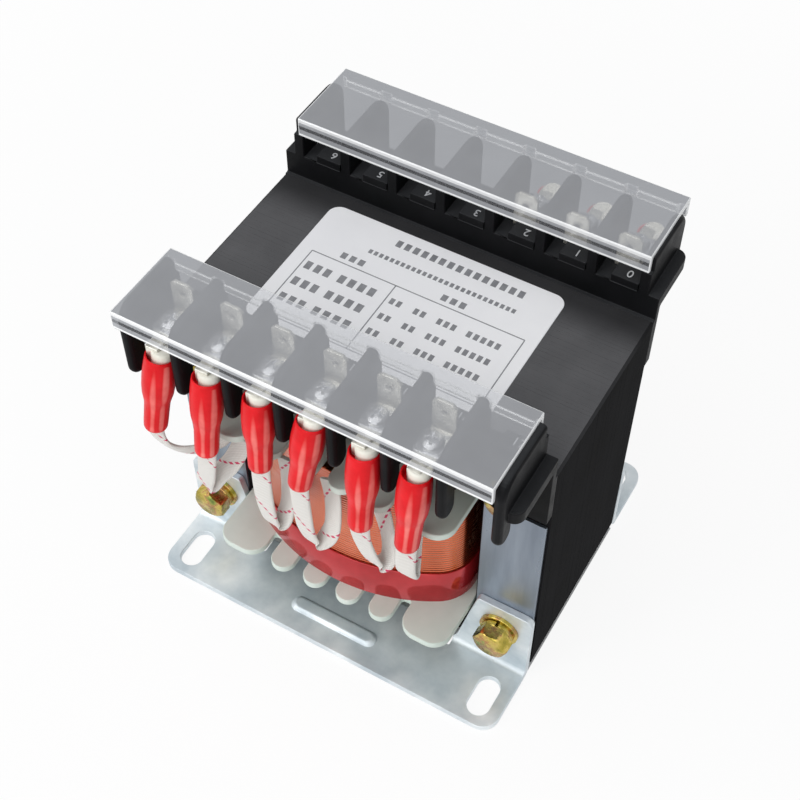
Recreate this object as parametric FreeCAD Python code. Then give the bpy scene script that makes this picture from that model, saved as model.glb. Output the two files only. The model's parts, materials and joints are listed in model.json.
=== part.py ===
import FreeCAD, Part
import math
import os

V = FreeCAD.Vector

# Laminated core: an E and I stack standing on edge, its sheets facing front and rear
coreWidth = 96.0
coreHeight = 79.2
stackDepth = 47.0
outerLimbWidth = 16.0
windowWidth = 16.0
yokeHeight = 15.6
coreLift = 2.8
coreEdge = 0.6

# Through bolts with their nuts and washers
boltRadius = 2.5
boltClearance = 0.25
lowBoltRise = 14.2
highBoltInset = 8.0
hexFlats = 8.0
headHeight = 3.5
nutHeight = 4.0
boltTail = 2.0
flatWasherRadius = 5.0
flatWasherThickness = 1.0
springWasherRadius = 4.2
springWasherThickness = 1.3
springWasherSplit = 0.8

# Foot brackets: pressed sheet, each with a flat foot and two upright tabs
sheetThickness = 1.8
footLength = 20.2
footCorner = 4.5
bendFillet = 1.0
tabHeight = 25.2
tabTopInset = 1.4
tabFlankWidth = 19.0
tabFlankHeight = 5.0
tabBaseWidth = 20.0
tabCorner = 2.0
reliefWidth = 1.6
reliefDepth = 2.4
slotInset = 6.0
slotSetback = 8.0
slotWidth = 5.8
slotLength = 11.0
beadLength = 24.0
beadWidth = 4.2
beadRise = 1.0
beadSlope = 0.8
beadFromSlots = 0.7

# Plain strips between the outer limbs and the tabs
stripThickness = 0.8
stripInset = 0.5
stripToSkirt = 4.7

# Coil former: a tube round the centre limb with two fingered flanges
formerClearance = 0.2
formerWall = 1.5
flangeThickness = 2.0
flangeOverhang = 16.5
lobeWidth = 12.4
lobeCorner = 4.5
fingerCount = 4
fingerGap = 3.0
lobeGap = 2.5
fingerLength = 8.0

# Windings, from the former outwards
coilClearance = 0.15
primaryBuild = 4.6
wrapThickness = 0.6
secondaryBuild = 6.25
bulgeOverhang = 11.8
cornerCover = 0.69
coilCorner = 10.0
filmThickness = 0.6
filmHeight = 11.8

# Terminal blocks: a skirt against the core, a shelf and a row of fins
skirtThickness = 2.8
skirtToWindow = 0.6
blockSetback = 1.0
shelfRise = 3.0
shelfThickness = 3.5
shelfDepth = 14.0
earOverhang = 3.5
earLength = 3.9
earCorner = 2.5
positions = 7
finThickness = 2.5
finHeight = 10.4
finOverhang = 6.0
finCorner = 5.0
finDrop = 7.0
finTailDepth = 5.0
finRoot = 0.5
ledgeToBlade = 0.4
ledgeRise = 2.0
ledgeStart = 1.5
wellWidth = 4.0
wellDepth = 3.6

# Clear covers that rest on the fins
coverSideOverhang = 0.1
coverShift = 0.5
coverWall = 1.2
coverSetback = 0.6
coverOverhang = 1.8
coverLip = 5.0
coverGap = 0.4
snapThickness = 0.7
snapDrop = 3.2
snapGap = 0.2

# Terminal hardware of one wired position
screwInset = 2.2
contactThickness = 0.8
contactWidth = 5.6
bladeFromScrew = 5.7
bladeToCover = 0.7
bladeChamfer = 1.0
screwRadius = 1.5
screwClearance = 0.15
screwHeadRadius = 2.6
screwHeadHeight = 1.7
screwLength = 5.0
squareWasherSize = 6.0
squareWasherThickness = 0.7

# Crimped lug and its boot
lugThickness = 0.8
lugWidth = 5.4
lugNeckWidth = 3.2
lugToe = 2.6
lugHeel = 3.3
lugTaper = 1.2
flareRadius = 2.95
flareHeight = 1.9
bootOverhang = 4.8
bootTopDrop = 1.5
bootLength = 22.0
bootTopRadius = 3.3
bootBulgeRadius = 3.75
bootBulgeAt = 6.0
bootNeckRadius = 2.9
bootNeckAt = 13.5
bootMouthRadius = 2.75

# Flat woven sleeves over the winding leads
sleeveWidth = 5.0
sleeveThickness = 1.2
sleeveTurn = 4.2
sleeveEntry = 1.0

# Label on the top yoke
labelSideMargin = 17.5
labelEndMargin = 3.8
labelThickness = 0.15
labelShiftX = -1.5
labelShiftY = 0.7
labelCorner = 3.0

# Straight steps that stand for a round outline on the small repeated pieces
cornerSteps = 4
tipSteps = 6
bowSteps = 14
sleeveSteps = 3
boltSides = 12
screwSides = 8
bootSides = 12

# Turns in degrees
quarterTurn = 90
halfTurn = 180

# Each wired position: its place in the row, how far the boot leans sideways and outwards over its length,
# how deep the sleeve loops below the mouth, how far beside the position it ends, and how far inside
# the flange's edge
frontLeads = [
    (0, -0.7, 3.7, 6.0, 12.3, 4.0),
    (1, 1.0, 3.7, 18.0, 5.2, 2.4),
    (2, 0.4, 2.5, 17.0, 3.1, 2.8),
    (3, 0.5, 2.5, 18.5, 1.5, 2.8),
    (4, 2.0, 3.7, 10.5, 1.2, 3.0),
    (5, -0.2, 3.3, 10.5, -2.7, 3.5),
]
rearLeads = [
    (4, -0.3, 3.3, 17.0, -1.6, 2.8),
    (5, 0.4, 3.5, 15.0, -5.2, 2.8),
    (6, 0.5, 3.7, 8.0, -11.8, 4.0),
]

# Heights and reaches that follow from the sizes above
coreBottom = coreLift
coreTop = coreBottom + coreHeight
coreFace = stackDepth / 2
windowLow = coreBottom + yokeHeight
windowHigh = coreTop - yokeHeight
windowOuter = coreWidth / 2 - outerLimbWidth
limbFace = windowOuter - windowWidth
boltX = coreWidth / 2 - outerLimbWidth / 2
lowBoltZ = coreBottom + lowBoltRise
highBoltZ = coreTop - highBoltInset
boltHole = boltRadius + boltClearance
screwHole = screwRadius + screwClearance
tabFace = coreFace + stripThickness
tabOuter = tabFace + sheetThickness
footOuter = tabFace + footLength
slotX = coreWidth / 2 - slotInset
slotY = footOuter - slotSetback
skirtOuter = coreFace + skirtThickness
skirtLow = windowHigh + skirtToWindow
stripWidth = outerLimbWidth - 2 * stripInset
stripHigh = skirtLow - stripToSkirt
flangeHigh = windowHigh - formerClearance
flangeUnder = flangeHigh - flangeThickness
coilLow = windowLow + flangeThickness
coilHigh = flangeUnder - coilClearance
tubeOuterX = limbFace + formerClearance + formerWall
tubeOuterY = coreFace + formerClearance + formerWall
flangeReach = coreFace + flangeOverhang
lobeInner = windowOuter - formerClearance - lobeWidth
fingerPitch = (lobeInner - lobeGap + fingerGap / 2) / (fingerCount / 2)
fingerWidth = fingerPitch - fingerGap
windingBoreX = tubeOuterX + coilClearance
windingBoreY = tubeOuterY + coilClearance
wrapX = windingBoreX + primaryBuild + wrapThickness
wrapY = windingBoreY + primaryBuild + wrapThickness
wrapCorner = primaryBuild + wrapThickness
coilHalfWidth = wrapX + secondaryBuild
coilBulge = coreFace + bulgeOverhang
shelfLow = coreTop + shelfRise
shelfTop = shelfLow + shelfThickness
blockInner = coreFace + blockSetback
shelfReach = coreFace + shelfDepth
earReach = shelfReach + earOverhang
pitch = (coreWidth - 2 * earLength) / positions
finReach = shelfReach + finOverhang
finTop = shelfTop + finHeight
coverWidth = positions * pitch + 2 * coverSideOverhang
coverInner = coreFace + coverSetback
coverOuter = finReach + coverOverhang
screwReach = shelfReach - screwInset
bladeReach = screwReach - bladeFromScrew
bladeTop = finTop - bladeToCover
bootTopReach = shelfReach + bootOverhang
finTailRadius = finTailDepth / 2
finTailLow = shelfLow - finDrop + finTailRadius
contactTop = shelfTop + contactThickness
lugTop = contactTop + lugThickness
screwSeat = lugTop + squareWasherThickness
bootTop = shelfTop - bootTopDrop


def box(x0, x1, y0, y1, z0, z1):
    return Part.makeBox(abs(x1 - x0), y1 - y0, z1 - z0, V(min(x0, x1), y0, z0))


def rod(radius, base, direction, length):
    return Part.makeCylinder(radius, length, base, direction)


def prism(points, sweep):
    """A straight-sided solid: a closed outline of points pushed along a vector."""
    return Part.Face(Part.makePolygon(points + [points[0]])).extrude(sweep)


def fused(shapes):
    return shapes[0].fuse(shapes[1:]).removeSplitter()


def arcPoints(across, up, radius, start, end, steps):
    """Pairs along a circular arc between two angles in degrees."""
    angles = [math.radians(start + (end - start) * i / steps) for i in range(steps + 1)]
    return [(across + radius * math.cos(a), up + radius * math.sin(a)) for a in angles]


def post(x, y, low, high, radius, sides):
    """An upright prism with an even number of sides."""
    ring = arcPoints(x, y, radius, 0, 360, sides)[:-1]
    return prism([V(a, b, low) for a, b in ring], V(0, 0, high - low))


def pin(x, z, near, far, radius, sides):
    """The same prism lying along y."""
    ring = arcPoints(x, z, radius, 0, 360, sides)[:-1]
    return prism([V(a, near, b) for a, b in ring], V(0, far - near, 0))


def faceted(rings):
    """A closed body through rings of equally many points: two flat ends and flat sides between them."""
    faces = [Part.Face(Part.makePolygon(ring + [ring[0]])) for ring in (rings[0], rings[-1])]
    for low, high in zip(rings, rings[1:]):
        for i in range(len(low)):
            corners = [low[i - 1], low[i], high[i], high[i - 1]]
            faces.append(Part.Face(Part.makePolygon(corners + [corners[0]])))
    return Part.makeSolid(Part.makeShell(faces))


def plate(outline, low, high):
    """A flat plate from an outline of x and y pairs."""
    return prism([V(a, b, low) for a, b in outline], V(0, 0, high - low))


def roundedOutline(halfX, halfY, corner):
    """A rectangle about the origin with four round corners."""
    outline = []
    flatX = halfX - corner
    flatY = halfY - corner
    for quarter, (x, y) in enumerate(((flatX, flatY), (-flatX, flatY), (-flatX, -flatY), (flatX, -flatY))):
        start = quarterTurn * quarter
        outline += arcPoints(x, y, corner, start, start + quarterTurn, cornerSteps)
    return outline


def toFront(shape):
    return shape.mirror(V(0, 0, 0), V(0, 1, 0))


def asBuilt(shape):
    return shape


def save(node, solids):
    shape = solids[0] if len(solids) == 1 else Part.makeCompound(solids)
    shape.exportStep("parts/" + node + ".step")


def boltPlaces():
    return [(side * boltX, z) for z in (lowBoltZ, highBoltZ) for side in (-1, 1)]


def laminatedCore():
    core = box(-coreWidth / 2, coreWidth / 2, -coreFace, coreFace, coreBottom, coreTop)
    edges = []
    for edge in core.Edges:
        start = edge.Vertexes[0].Point
        end = edge.Vertexes[-1].Point
        if abs(start.y - end.y) > 1:
            edges.append(edge)
    core = core.makeChamfer(coreEdge, edges)
    for side in (-1, 1):
        core = core.cut(box(side * limbFace, side * windowOuter, -coreFace, coreFace, windowLow, windowHigh))
    for x, z in boltPlaces():
        core = core.cut(pin(x, z, -coreFace, coreFace, boltHole, boltSides))
    return core


def slotTool(x):
    """A round-ended slot through the foot, long in y."""
    straight = (slotLength - slotWidth) / 2
    radius = slotWidth / 2
    below = -sheetThickness
    height = 3 * sheetThickness
    ends = [rod(radius, V(x, slotY + side * straight, below), V(0, 0, 1), height) for side in (-1, 1)]
    body = box(x - radius, x + radius, slotY - straight, slotY + straight, below, below + height)
    return fused([body] + ends)


def bead(low):
    """The pressed stiffening bead: a flat-topped ridge with sloping flanks and ends."""
    middle = slotY + beadFromSlots
    rings = []
    for inset, z in ((0, low), (beadSlope, low + beadRise)):
        halfX = beadLength / 2 - inset
        halfY = beadWidth / 2 - inset
        corners = ((-halfX, -halfY), (halfX, -halfY), (halfX, halfY), (-halfX, halfY))
        rings.append([V(a, middle + b, z) for a, b in corners])
    return faceted(rings)


def footTab(side):
    """One upright tab, seen from the front: round outer corner, narrow top, sloping flank and wide root."""
    outer = coreWidth / 2
    outline = [(outer, 0)]
    outline += arcPoints(outer - tabCorner, tabHeight - tabCorner, tabCorner, 0, quarterTurn, cornerSteps)
    outline += [
        (windowOuter + tabTopInset, tabHeight),
        (windowOuter, windowLow),
        (outer - tabFlankWidth, tabFlankHeight),
        (outer - tabBaseWidth, sheetThickness),
        (outer - tabBaseWidth, 0),
    ]
    return prism([V(side * a, tabFace, b) for a, b in outline], V(0, sheetThickness, 0))


def footBracket():
    """The rear foot: flat sheet with a bead and two slots, tabs turned up along its inner edge."""
    half = coreWidth / 2
    outline = [(-half, tabFace), (half, tabFace)]
    outline += arcPoints(half - footCorner, footOuter - footCorner, footCorner, 0, quarterTurn, cornerSteps)
    outline += arcPoints(footCorner - half, footOuter - footCorner, footCorner, quarterTurn, halfTurn,
                         cornerSteps)
    pieces = [plate(outline, 0, sheetThickness)]
    for side in (-1, 1):
        pieces.append(footTab(side))
        fillet = [
            V(side * half, tabOuter, sheetThickness),
            V(side * half, tabOuter + bendFillet, sheetThickness),
            V(side * half, tabOuter, sheetThickness + bendFillet),
        ]
        pieces.append(prism(fillet, V(-side * tabBaseWidth, 0, 0)))
    bracket = fused(pieces)
    reach = tabOuter + reliefDepth
    for side in (-1, 1):
        start = side * (half - tabBaseWidth)
        bracket = bracket.cut(box(start, start - side * reliefWidth, coreFace, reach, 0, tabHeight))
        bracket = bracket.cut(slotTool(side * slotX))
        bracket = bracket.cut(pin(side * boltX, lowBoltZ, coreFace, reach, boltHole, boltSides))
    bracket = bracket.cut(bead(0))
    return fused([bracket, bead(sheetThickness)])


def sideStrip(side):
    middle = side * boltX
    strip = box(middle - stripWidth / 2, middle + stripWidth / 2, coreFace, tabFace, coreBottom,
                stripHigh)
    return strip.cut(pin(middle, lowBoltZ, 0, tabOuter, boltHole, boltSides))


def flangeEdge():
    """A flange's rear edge from right to left: a round-cornered lobe, the fingers and the other lobe."""
    half = windowOuter - formerClearance
    root = flangeReach - fingerLength
    lobeY = flangeReach - lobeCorner
    edge = arcPoints(half - lobeCorner, lobeY, lobeCorner, 0, quarterTurn, cornerSteps)
    edge += arcPoints(lobeInner + lobeCorner, lobeY, lobeCorner, quarterTurn, halfTurn, cornerSteps)
    edge.append((lobeInner, root))
    radius = fingerWidth / 2
    for i in range(fingerCount):
        x = ((fingerCount - 1) / 2 - i) * fingerPitch
        edge.append((x + radius, root))
        edge += arcPoints(x, flangeReach - radius, radius, 0, halfTurn, tipSteps)
        edge.append((x - radius, root))
    edge.append((-lobeInner, root))
    edge += arcPoints(-lobeInner - lobeCorner, lobeY, lobeCorner, 0, quarterTurn, cornerSteps)
    edge += arcPoints(lobeCorner - half, lobeY, lobeCorner, quarterTurn, halfTurn, cornerSteps)
    return edge


def coilFormer():
    edge = flangeEdge()
    outline = edge + [(-a, -b) for a, b in edge]
    tube = box(-tubeOuterX, tubeOuterX, -tubeOuterY, tubeOuterY, windowLow, flangeHigh)
    former = fused([tube, plate(outline, windowLow, coilLow), plate(outline, flangeUnder, flangeHigh)])
    boreX = limbFace + formerClearance
    boreY = coreFace + formerClearance
    return former.cut(box(-boreX, boreX, -boreY, boreY, windowLow, windowHigh))


def coilBow():
    """The radius of the coil's bowed front and rear, which keeps some wire over the wrap's corners."""
    cornerX = wrapX - wrapCorner
    drop = coilBulge - wrapY + wrapCorner
    cover = wrapCorner + cornerCover
    return (cornerX ** 2 + drop ** 2 - cover ** 2) / (2 * (drop - cover))


def coilOutline(grow):
    """The coil's outer outline grown by a distance: flat flanks, bowed front and rear, round corners."""
    bow = coilBow()
    centre = coilBulge - bow
    cornerX = coilHalfWidth - coilCorner
    cornerY = centre + math.sqrt((bow - coilCorner) ** 2 - cornerX ** 2)
    turn = math.degrees(math.atan2(cornerY - centre, cornerX))
    rear = arcPoints(cornerX, cornerY, coilCorner + grow, 0, turn, cornerSteps)
    rear += arcPoints(0, centre, bow + grow, turn, halfTurn - turn, bowSteps)[1:-1]
    rear += arcPoints(-cornerX, cornerY, coilCorner + grow, halfTurn - turn, halfTurn, cornerSteps)
    return rear + [(-a, -b) for a, b in rear]


def windings():
    """Primary, wrap and secondary as nested rings round the former's tube."""
    bore = box(-windingBoreX, windingBoreX, -windingBoreY, windingBoreY, coilLow, coilHigh)
    primaryOutline = roundedOutline(wrapX - wrapThickness, wrapY - wrapThickness, primaryBuild)
    primary = plate(primaryOutline, coilLow, coilHigh)
    wrap = plate(roundedOutline(wrapX, wrapY, wrapCorner), coilLow, coilHigh)
    secondary = plate(coilOutline(0), coilLow, coilHigh)
    return primary.cut(bore), wrap.cut(primary), secondary.cut(wrap)


def filmCollar():
    high = coilLow + filmHeight
    return plate(coilOutline(filmThickness), coilLow, high).cut(plate(coilOutline(0), coilLow, high))


def pocketCentre(i):
    return (i - (positions - 1) / 2) * pitch


def finSide():
    """One fin from the side: a step for the cover's lip, a round shoulder and a hanging round-ended tail."""
    step = coverInner + coverWall + coverGap
    lipEnd = finTop + coverWall - coverLip - coverGap
    outline = [(blockInner, shelfTop - finRoot), (blockInner, lipEnd), (step, lipEnd), (step, finTop)]
    outline += arcPoints(finReach - finCorner, finTop - finCorner, finCorner, quarterTurn, 0, cornerSteps)
    outline += arcPoints(finReach - finTailRadius, finTailLow, finTailRadius, 0, -halfTurn, tipSteps)
    outline += [(finReach - finTailDepth, shelfLow), (shelfReach - finRoot, shelfLow),
                (shelfReach - finRoot, shelfTop - finRoot)]
    return outline


def terminalBlock():
    """The moulding: skirt, shelf, end ears, fins between the positions and a number ledge in each."""
    half = coreWidth / 2
    profile = [
        (coreFace, skirtLow),
        (coreFace, coreTop),
        (blockInner, coreTop),
        (blockInner, shelfTop),
        (shelfReach, shelfTop),
        (shelfReach, shelfLow),
        (skirtOuter, shelfLow),
        (skirtOuter, skirtLow),
    ]
    pieces = [prism([V(-half, y, z) for y, z in profile], V(coreWidth, 0, 0))]
    for i in range(positions + 1):
        x = (i - positions / 2) * pitch - finThickness / 2
        pieces.append(prism([V(x, y, z) for y, z in finSide()], V(finThickness, 0, 0)))
    inner = positions * pitch / 2
    for side in (-1, 1):
        ear = [(inner, shelfReach - finRoot), (half, shelfReach - finRoot)]
        ear += arcPoints(half - earCorner, earReach - earCorner, earCorner, 0, quarterTurn, cornerSteps)
        ear.append((inner, earReach))
        pieces.append(plate([(side * a, b) for a, b in ear], shelfLow, shelfTop))
    for i in range(positions):
        x = pocketCentre(i)
        pieces.append(box(x - ledgeStart, x + pitch / 2, blockInner, bladeReach - ledgeToBlade, shelfLow,
                          shelfTop + ledgeRise))
    block = fused(pieces)
    for i in range(positions):
        x = pocketCentre(i)
        block = block.cut(box(x - wellWidth / 2, x + wellWidth / 2, screwReach - wellDepth / 2,
                              screwReach + wellDepth / 2, coreTop, finTop))
    for side in (-1, 1):
        block = block.cut(pin(side * boltX, highBoltZ, 0, shelfReach, boltHole, boltSides))
    return block


def clearCover(shift):
    """A flat lid with a lip front and rear, and short bars inside both lips at every position."""
    left = shift - coverWidth / 2
    right = shift + coverWidth / 2
    top = finTop + coverWall
    pieces = [
        box(left, right, coverInner, coverOuter, finTop, top),
        box(left, right, coverInner, coverInner + coverWall, top - coverLip, finTop),
        box(left, right, coverOuter - coverWall, coverOuter, top - coverLip, finTop),
    ]
    halfBar = (pitch - finThickness) / 2 - snapGap
    for i in range(positions):
        x = pocketCentre(i)
        for near in (coverInner + coverWall, coverOuter - coverWall - snapThickness):
            bar = box(x - halfBar, x + halfBar, near, near + snapThickness, finTop - snapDrop, finTop)
            pieces.append(bar)
    return fused(pieces)


def contactPlate(x):
    """A tinned plate: a flat foot under the screw and an upright push-on blade with cut corners."""
    half = contactWidth / 2
    foot = box(x - half, x + half, bladeReach, shelfReach, shelfTop, contactTop)
    narrow = half - bladeChamfer
    outline = [(-half, shelfTop), (-half, bladeTop - bladeChamfer), (-narrow, bladeTop), (narrow, bladeTop),
               (half, bladeTop - bladeChamfer), (half, shelfTop)]
    blade = prism([V(x + a, bladeReach, b) for a, b in outline], V(0, contactThickness, 0))
    return fused([foot, blade]).cut(post(x, screwReach, shelfLow, lugTop, screwHole, screwSides))


def squareWasher(x):
    half = squareWasherSize / 2
    washer = box(x - half, x + half, screwReach - half, screwReach + half, lugTop, screwSeat)
    return washer.cut(post(x, screwReach, shelfTop, finTop, screwHole, screwSides))


def terminalScrew(x):
    head = post(x, screwReach, screwSeat, screwSeat + screwHeadHeight, screwHeadRadius, boltSides)
    return fused([head, post(x, screwReach, screwSeat - screwLength, screwSeat, screwRadius, screwSides)])


def bootAxis(x, lean, kick):
    """The boot's top point and the unit vector down its axis."""
    run = V(lean, kick, 0)
    run.z = -math.sqrt(bootLength ** 2 - run.x ** 2 - run.y ** 2)
    return V(x, bootTopReach, bootTop), run.normalize()


def taperedPost(rings, sides, top, axis):
    """A many-sided body through rings of distance and radius, hung from a point along an axis."""
    lay = FreeCAD.Placement(top, FreeCAD.Rotation(V(0, 0, 1), axis))
    return faceted([[lay.multVec(V(a, b, distance)) for a, b in arcPoints(0, 0, radius, 0, 360, sides)[:-1]]
                    for distance, radius in rings])


def lug(x, lean, kick):
    """A fork tongue under the screw, a neck turned down over the shelf's edge and the crimp's flare."""
    half = lugWidth / 2
    neck = lugNeckWidth / 2
    heel = screwReach + lugHeel
    end = bootTopReach + lugThickness / 2
    toe = screwReach - lugToe
    outline = [(neck, end), (neck, heel + lugTaper), (half, heel), (half, toe), (screwHole, toe)]
    outline += arcPoints(0, screwReach, screwHole, 0, halfTurn, cornerSteps)
    outline += [(-screwHole, toe), (-half, toe), (-half, heel), (-neck, heel + lugTaper), (-neck, end)]
    tongue = plate([(x + a, b) for a, b in outline], contactTop, lugTop)
    drop = box(x - neck, x + neck, end - lugThickness, end, bootTop + flareHeight / 2, contactTop)
    top, axis = bootAxis(x, lean, kick)
    flare = taperedPost([(-flareHeight, flareRadius), (0, flareRadius)], screwSides, top, axis)
    return fused([tongue, drop, flare])


def boot(x, lean, kick):
    rings = [(0, bootTopRadius), (bootBulgeAt, bootBulgeRadius), (bootNeckAt, bootNeckRadius),
             (bootLength, bootMouthRadius)]
    return taperedPost(rings, bootSides, *bootAxis(x, lean, kick))


def leadSleeve(x, lean, kick, depth, beside, inside):
    """A flat band out of the boot's mouth, down, round a U and up to the underside of the upper flange."""
    top, axis = bootAxis(x, lean, kick)
    mouth = top + axis * bootLength
    across = V(x + beside - mouth.x, flangeReach - inside - mouth.y, 0)
    span = across.Length
    across.normalize()
    width = V(0, 0, 1).cross(across) * sleeveWidth
    turn = min(span / 2, sleeveTurn)
    low = mouth.z - depth + turn

    def path(offset):
        """The band's middle line moved outwards by the offset, as distances across and heights."""
        points = [(-offset, mouth.z + sleeveEntry)]
        bottom = halfTurn + quarterTurn
        points += arcPoints(turn, low, turn + offset, halfTurn, bottom, sleeveSteps)
        points += arcPoints(span - turn, low, turn + offset, bottom, 2 * halfTurn, sleeveSteps)
        points.append((span + offset, flangeUnder))
        return points

    start = V(mouth.x, mouth.y, 0) - width / 2
    outline = path(sleeveThickness / 2) + path(-sleeveThickness / 2)[::-1]
    band = prism([start + across * a + V(0, 0, b) for a, b in outline], width)
    return band.cut(boot(x, lean, kick))


def hexagon(x, z, near, far):
    """A hexagon across its flats, facing front, pushed along y."""
    return pin(x, z, near, far, hexFlats / math.sqrt(3), 6)


def clampedFace(z):
    """How far out the washers sit: on the tabs below, on the skirts above."""
    return tabOuter if z == lowBoltZ else skirtOuter


def throughBolt(x, z):
    face = clampedFace(z)
    headSeat = -face - flatWasherThickness - springWasherThickness
    end = face + flatWasherThickness + nutHeight + boltTail
    head = hexagon(x, z, headSeat - headHeight, headSeat)
    return fused([head, pin(x, z, headSeat, end, boltRadius, boltSides)])


def hexNut(x, z):
    seat = clampedFace(z) + flatWasherThickness
    far = seat + nutHeight
    return hexagon(x, z, seat, far).cut(pin(x, z, seat, far, boltHole, boltSides))


def washerRing(x, z, near, far, radius):
    return pin(x, z, near, far, radius, boltSides).cut(pin(x, z, near, far, boltHole, boltSides))


def flatWashers(x, z):
    face = clampedFace(z)
    far = face + flatWasherThickness
    return [washerRing(x, z, face, far, flatWasherRadius), washerRing(x, z, -far, -face, flatWasherRadius)]


def springWasher(x, z):
    """A split ring under the bolt's head."""
    far = -clampedFace(z) - flatWasherThickness
    near = far - springWasherThickness
    ring = washerRing(x, z, near, far, springWasherRadius)
    half = springWasherSplit / 2
    return ring.cut(box(x - half, x + half, near, far, z, z + 2 * springWasherRadius))


def labelPlate():
    halfX = coreWidth / 2 - labelSideMargin
    halfY = coreFace - labelEndMargin
    outline = roundedOutline(halfX, halfY, labelCorner)
    label = plate(outline, coreTop, coreTop + labelThickness)
    label.translate(V(labelShiftX, labelShiftY, 0))
    return label


def saveLeads(end, leads, turn):
    """Everything on the wired positions of one end, grouped by kind, and each sleeve on its own."""
    wired = [(pocketCentre(lead[0]),) + lead[1:] for lead in leads]
    save(end + "_contact_plates", [turn(contactPlate(w[0])) for w in wired])
    save(end + "_square_washers", [turn(squareWasher(w[0])) for w in wired])
    save(end + "_terminal_screws", [turn(terminalScrew(w[0])) for w in wired])
    save(end + "_crimp_lugs", [turn(lug(*w[:3])) for w in wired])
    save(end + "_red_boots", [turn(boot(*w[:3])) for w in wired])
    for number, w in enumerate(wired, 1):
        save(end + "_lead_sleeve_" + str(number), [turn(leadSleeve(*w))])


os.makedirs("parts", exist_ok=True)
save("core_laminations", [laminatedCore()])
bracket = footBracket()
save("rear_foot_bracket", [bracket])
save("front_foot_bracket", [toFront(bracket)])
for name, side in (("left", -1), ("right", 1)):
    strip = sideStrip(side)
    save("rear_" + name + "_strip", [strip])
    save("front_" + name + "_strip", [toFront(strip)])
save("coil_former", [coilFormer()])
primary, wrap, secondary = windings()
save("primary_winding", [primary])
save("winding_wrap", [wrap])
save("secondary_winding", [secondary])
save("red_film_collar", [filmCollar()])
block = terminalBlock()
save("rear_terminal_block", [block])
save("front_terminal_block", [toFront(block)])
save("rear_cover", [clearCover(coverShift)])
save("front_cover", [toFront(clearCover(-coverShift))])
saveLeads("front", frontLeads, toFront)
saveLeads("rear", rearLeads, asBuilt)
save("through_bolts", [throughBolt(x, z) for x, z in boltPlaces()])
save("hex_nuts", [hexNut(x, z) for x, z in boltPlaces()])
save("flat_washers", [w for x, z in boltPlaces() for w in flatWashers(x, z)])
save("spring_washers", [springWasher(x, z) for x, z in boltPlaces()])
save("label_plate", [labelPlate()])
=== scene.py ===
import bpy
import bmesh
import json
import math
from mathutils import Matrix, Vector

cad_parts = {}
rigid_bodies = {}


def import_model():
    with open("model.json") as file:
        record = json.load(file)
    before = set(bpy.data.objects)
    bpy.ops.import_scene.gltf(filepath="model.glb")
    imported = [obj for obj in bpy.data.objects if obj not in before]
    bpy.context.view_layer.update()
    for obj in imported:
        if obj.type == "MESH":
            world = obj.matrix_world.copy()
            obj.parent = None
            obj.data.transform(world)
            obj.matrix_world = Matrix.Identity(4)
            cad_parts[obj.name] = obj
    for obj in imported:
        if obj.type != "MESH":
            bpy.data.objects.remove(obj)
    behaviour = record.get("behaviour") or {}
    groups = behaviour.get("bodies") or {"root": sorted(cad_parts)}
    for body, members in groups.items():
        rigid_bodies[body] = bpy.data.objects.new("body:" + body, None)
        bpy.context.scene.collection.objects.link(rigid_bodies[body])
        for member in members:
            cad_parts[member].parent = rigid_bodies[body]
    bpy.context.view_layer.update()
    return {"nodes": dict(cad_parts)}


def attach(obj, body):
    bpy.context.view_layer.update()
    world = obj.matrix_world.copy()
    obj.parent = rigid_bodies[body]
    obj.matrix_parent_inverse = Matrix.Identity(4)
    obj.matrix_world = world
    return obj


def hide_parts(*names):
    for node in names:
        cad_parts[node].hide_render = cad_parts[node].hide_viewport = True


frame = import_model()
scene = bpy.context.scene
mm = 0.001                  # every piece is drawn in millimetres and brought to metres when it is dressed


def put(target, **values):
    # sets several of a thing's properties
    for key, value in values.items():
        setattr(target, key, value)
    return target


# Outlines and bodies

def arc(across, up, radius, start, end, steps):
    turns = [math.radians(start + (end - start) * i / steps) for i in range(steps + 1)]
    return [(across + radius * math.cos(t), up + radius * math.sin(t)) for t in turns]


def roundBox(halfX, halfY, corner, centre=(0, 0), steps=6):
    x, y = halfX - corner, halfY - corner
    outline = []
    for quarter, (a, b) in enumerate(((x, y), (-x, y), (-x, -y), (x, -y))):
        outline += arc(centre[0] + a, centre[1] + b, corner, 90 * quarter, 90 * quarter + 90, steps)
    return outline


def circle(across, up, radius, sides=24):
    return arc(across, up, radius, 0, 360, sides)[:-1]


def mirrored(half):
    # an outline's right half and its mirror image
    return half + [(-a, b) for a, b in reversed(half)]


def flat(a, b, d):
    # an outline's two numbers and its distance, here and in the next two laid in three ways
    return Vector((a, b, d))


def frontOn(a, b, d):
    return Vector((a, d, b))


def sideOn(a, b, d):
    return Vector((d, a, b))


def loft(rings, capped=True):
    shape = bmesh.new()
    made = [[shape.verts.new(p) for p in ring] for ring in rings]
    for low, high in zip(made, made[1:]):
        for i in range(len(low)):
            shape.faces.new((low[i - 1], low[i], high[i], high[i - 1]))
    if capped:
        shape.faces.new(made[0])
        shape.faces.new(made[-1])
    bmesh.ops.recalc_face_normals(shape, faces=shape.faces)
    return shape


def layered(layers, lay=flat):
    # a ring for each pair of an outline and its distance
    return [[lay(a, b, d) for a, b in outline] for outline, d in layers]


def prism(outline, near, far, lay=flat):
    return loft(layered(((outline, near), (outline, far)), lay))


def hoop(rings):
    # a body whose last ring meets its first one
    shape = loft(rings + rings[:1], capped=False)
    bmesh.ops.remove_doubles(shape, verts=shape.verts, dist=0.001)
    bmesh.ops.recalc_face_normals(shape, faces=shape.faces)
    return shape


def block(x0, x1, y0, y1, z0, z1):
    return prism([(x0, y0), (x1, y0), (x1, y1), (x0, y1)], z0, z1)


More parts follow.
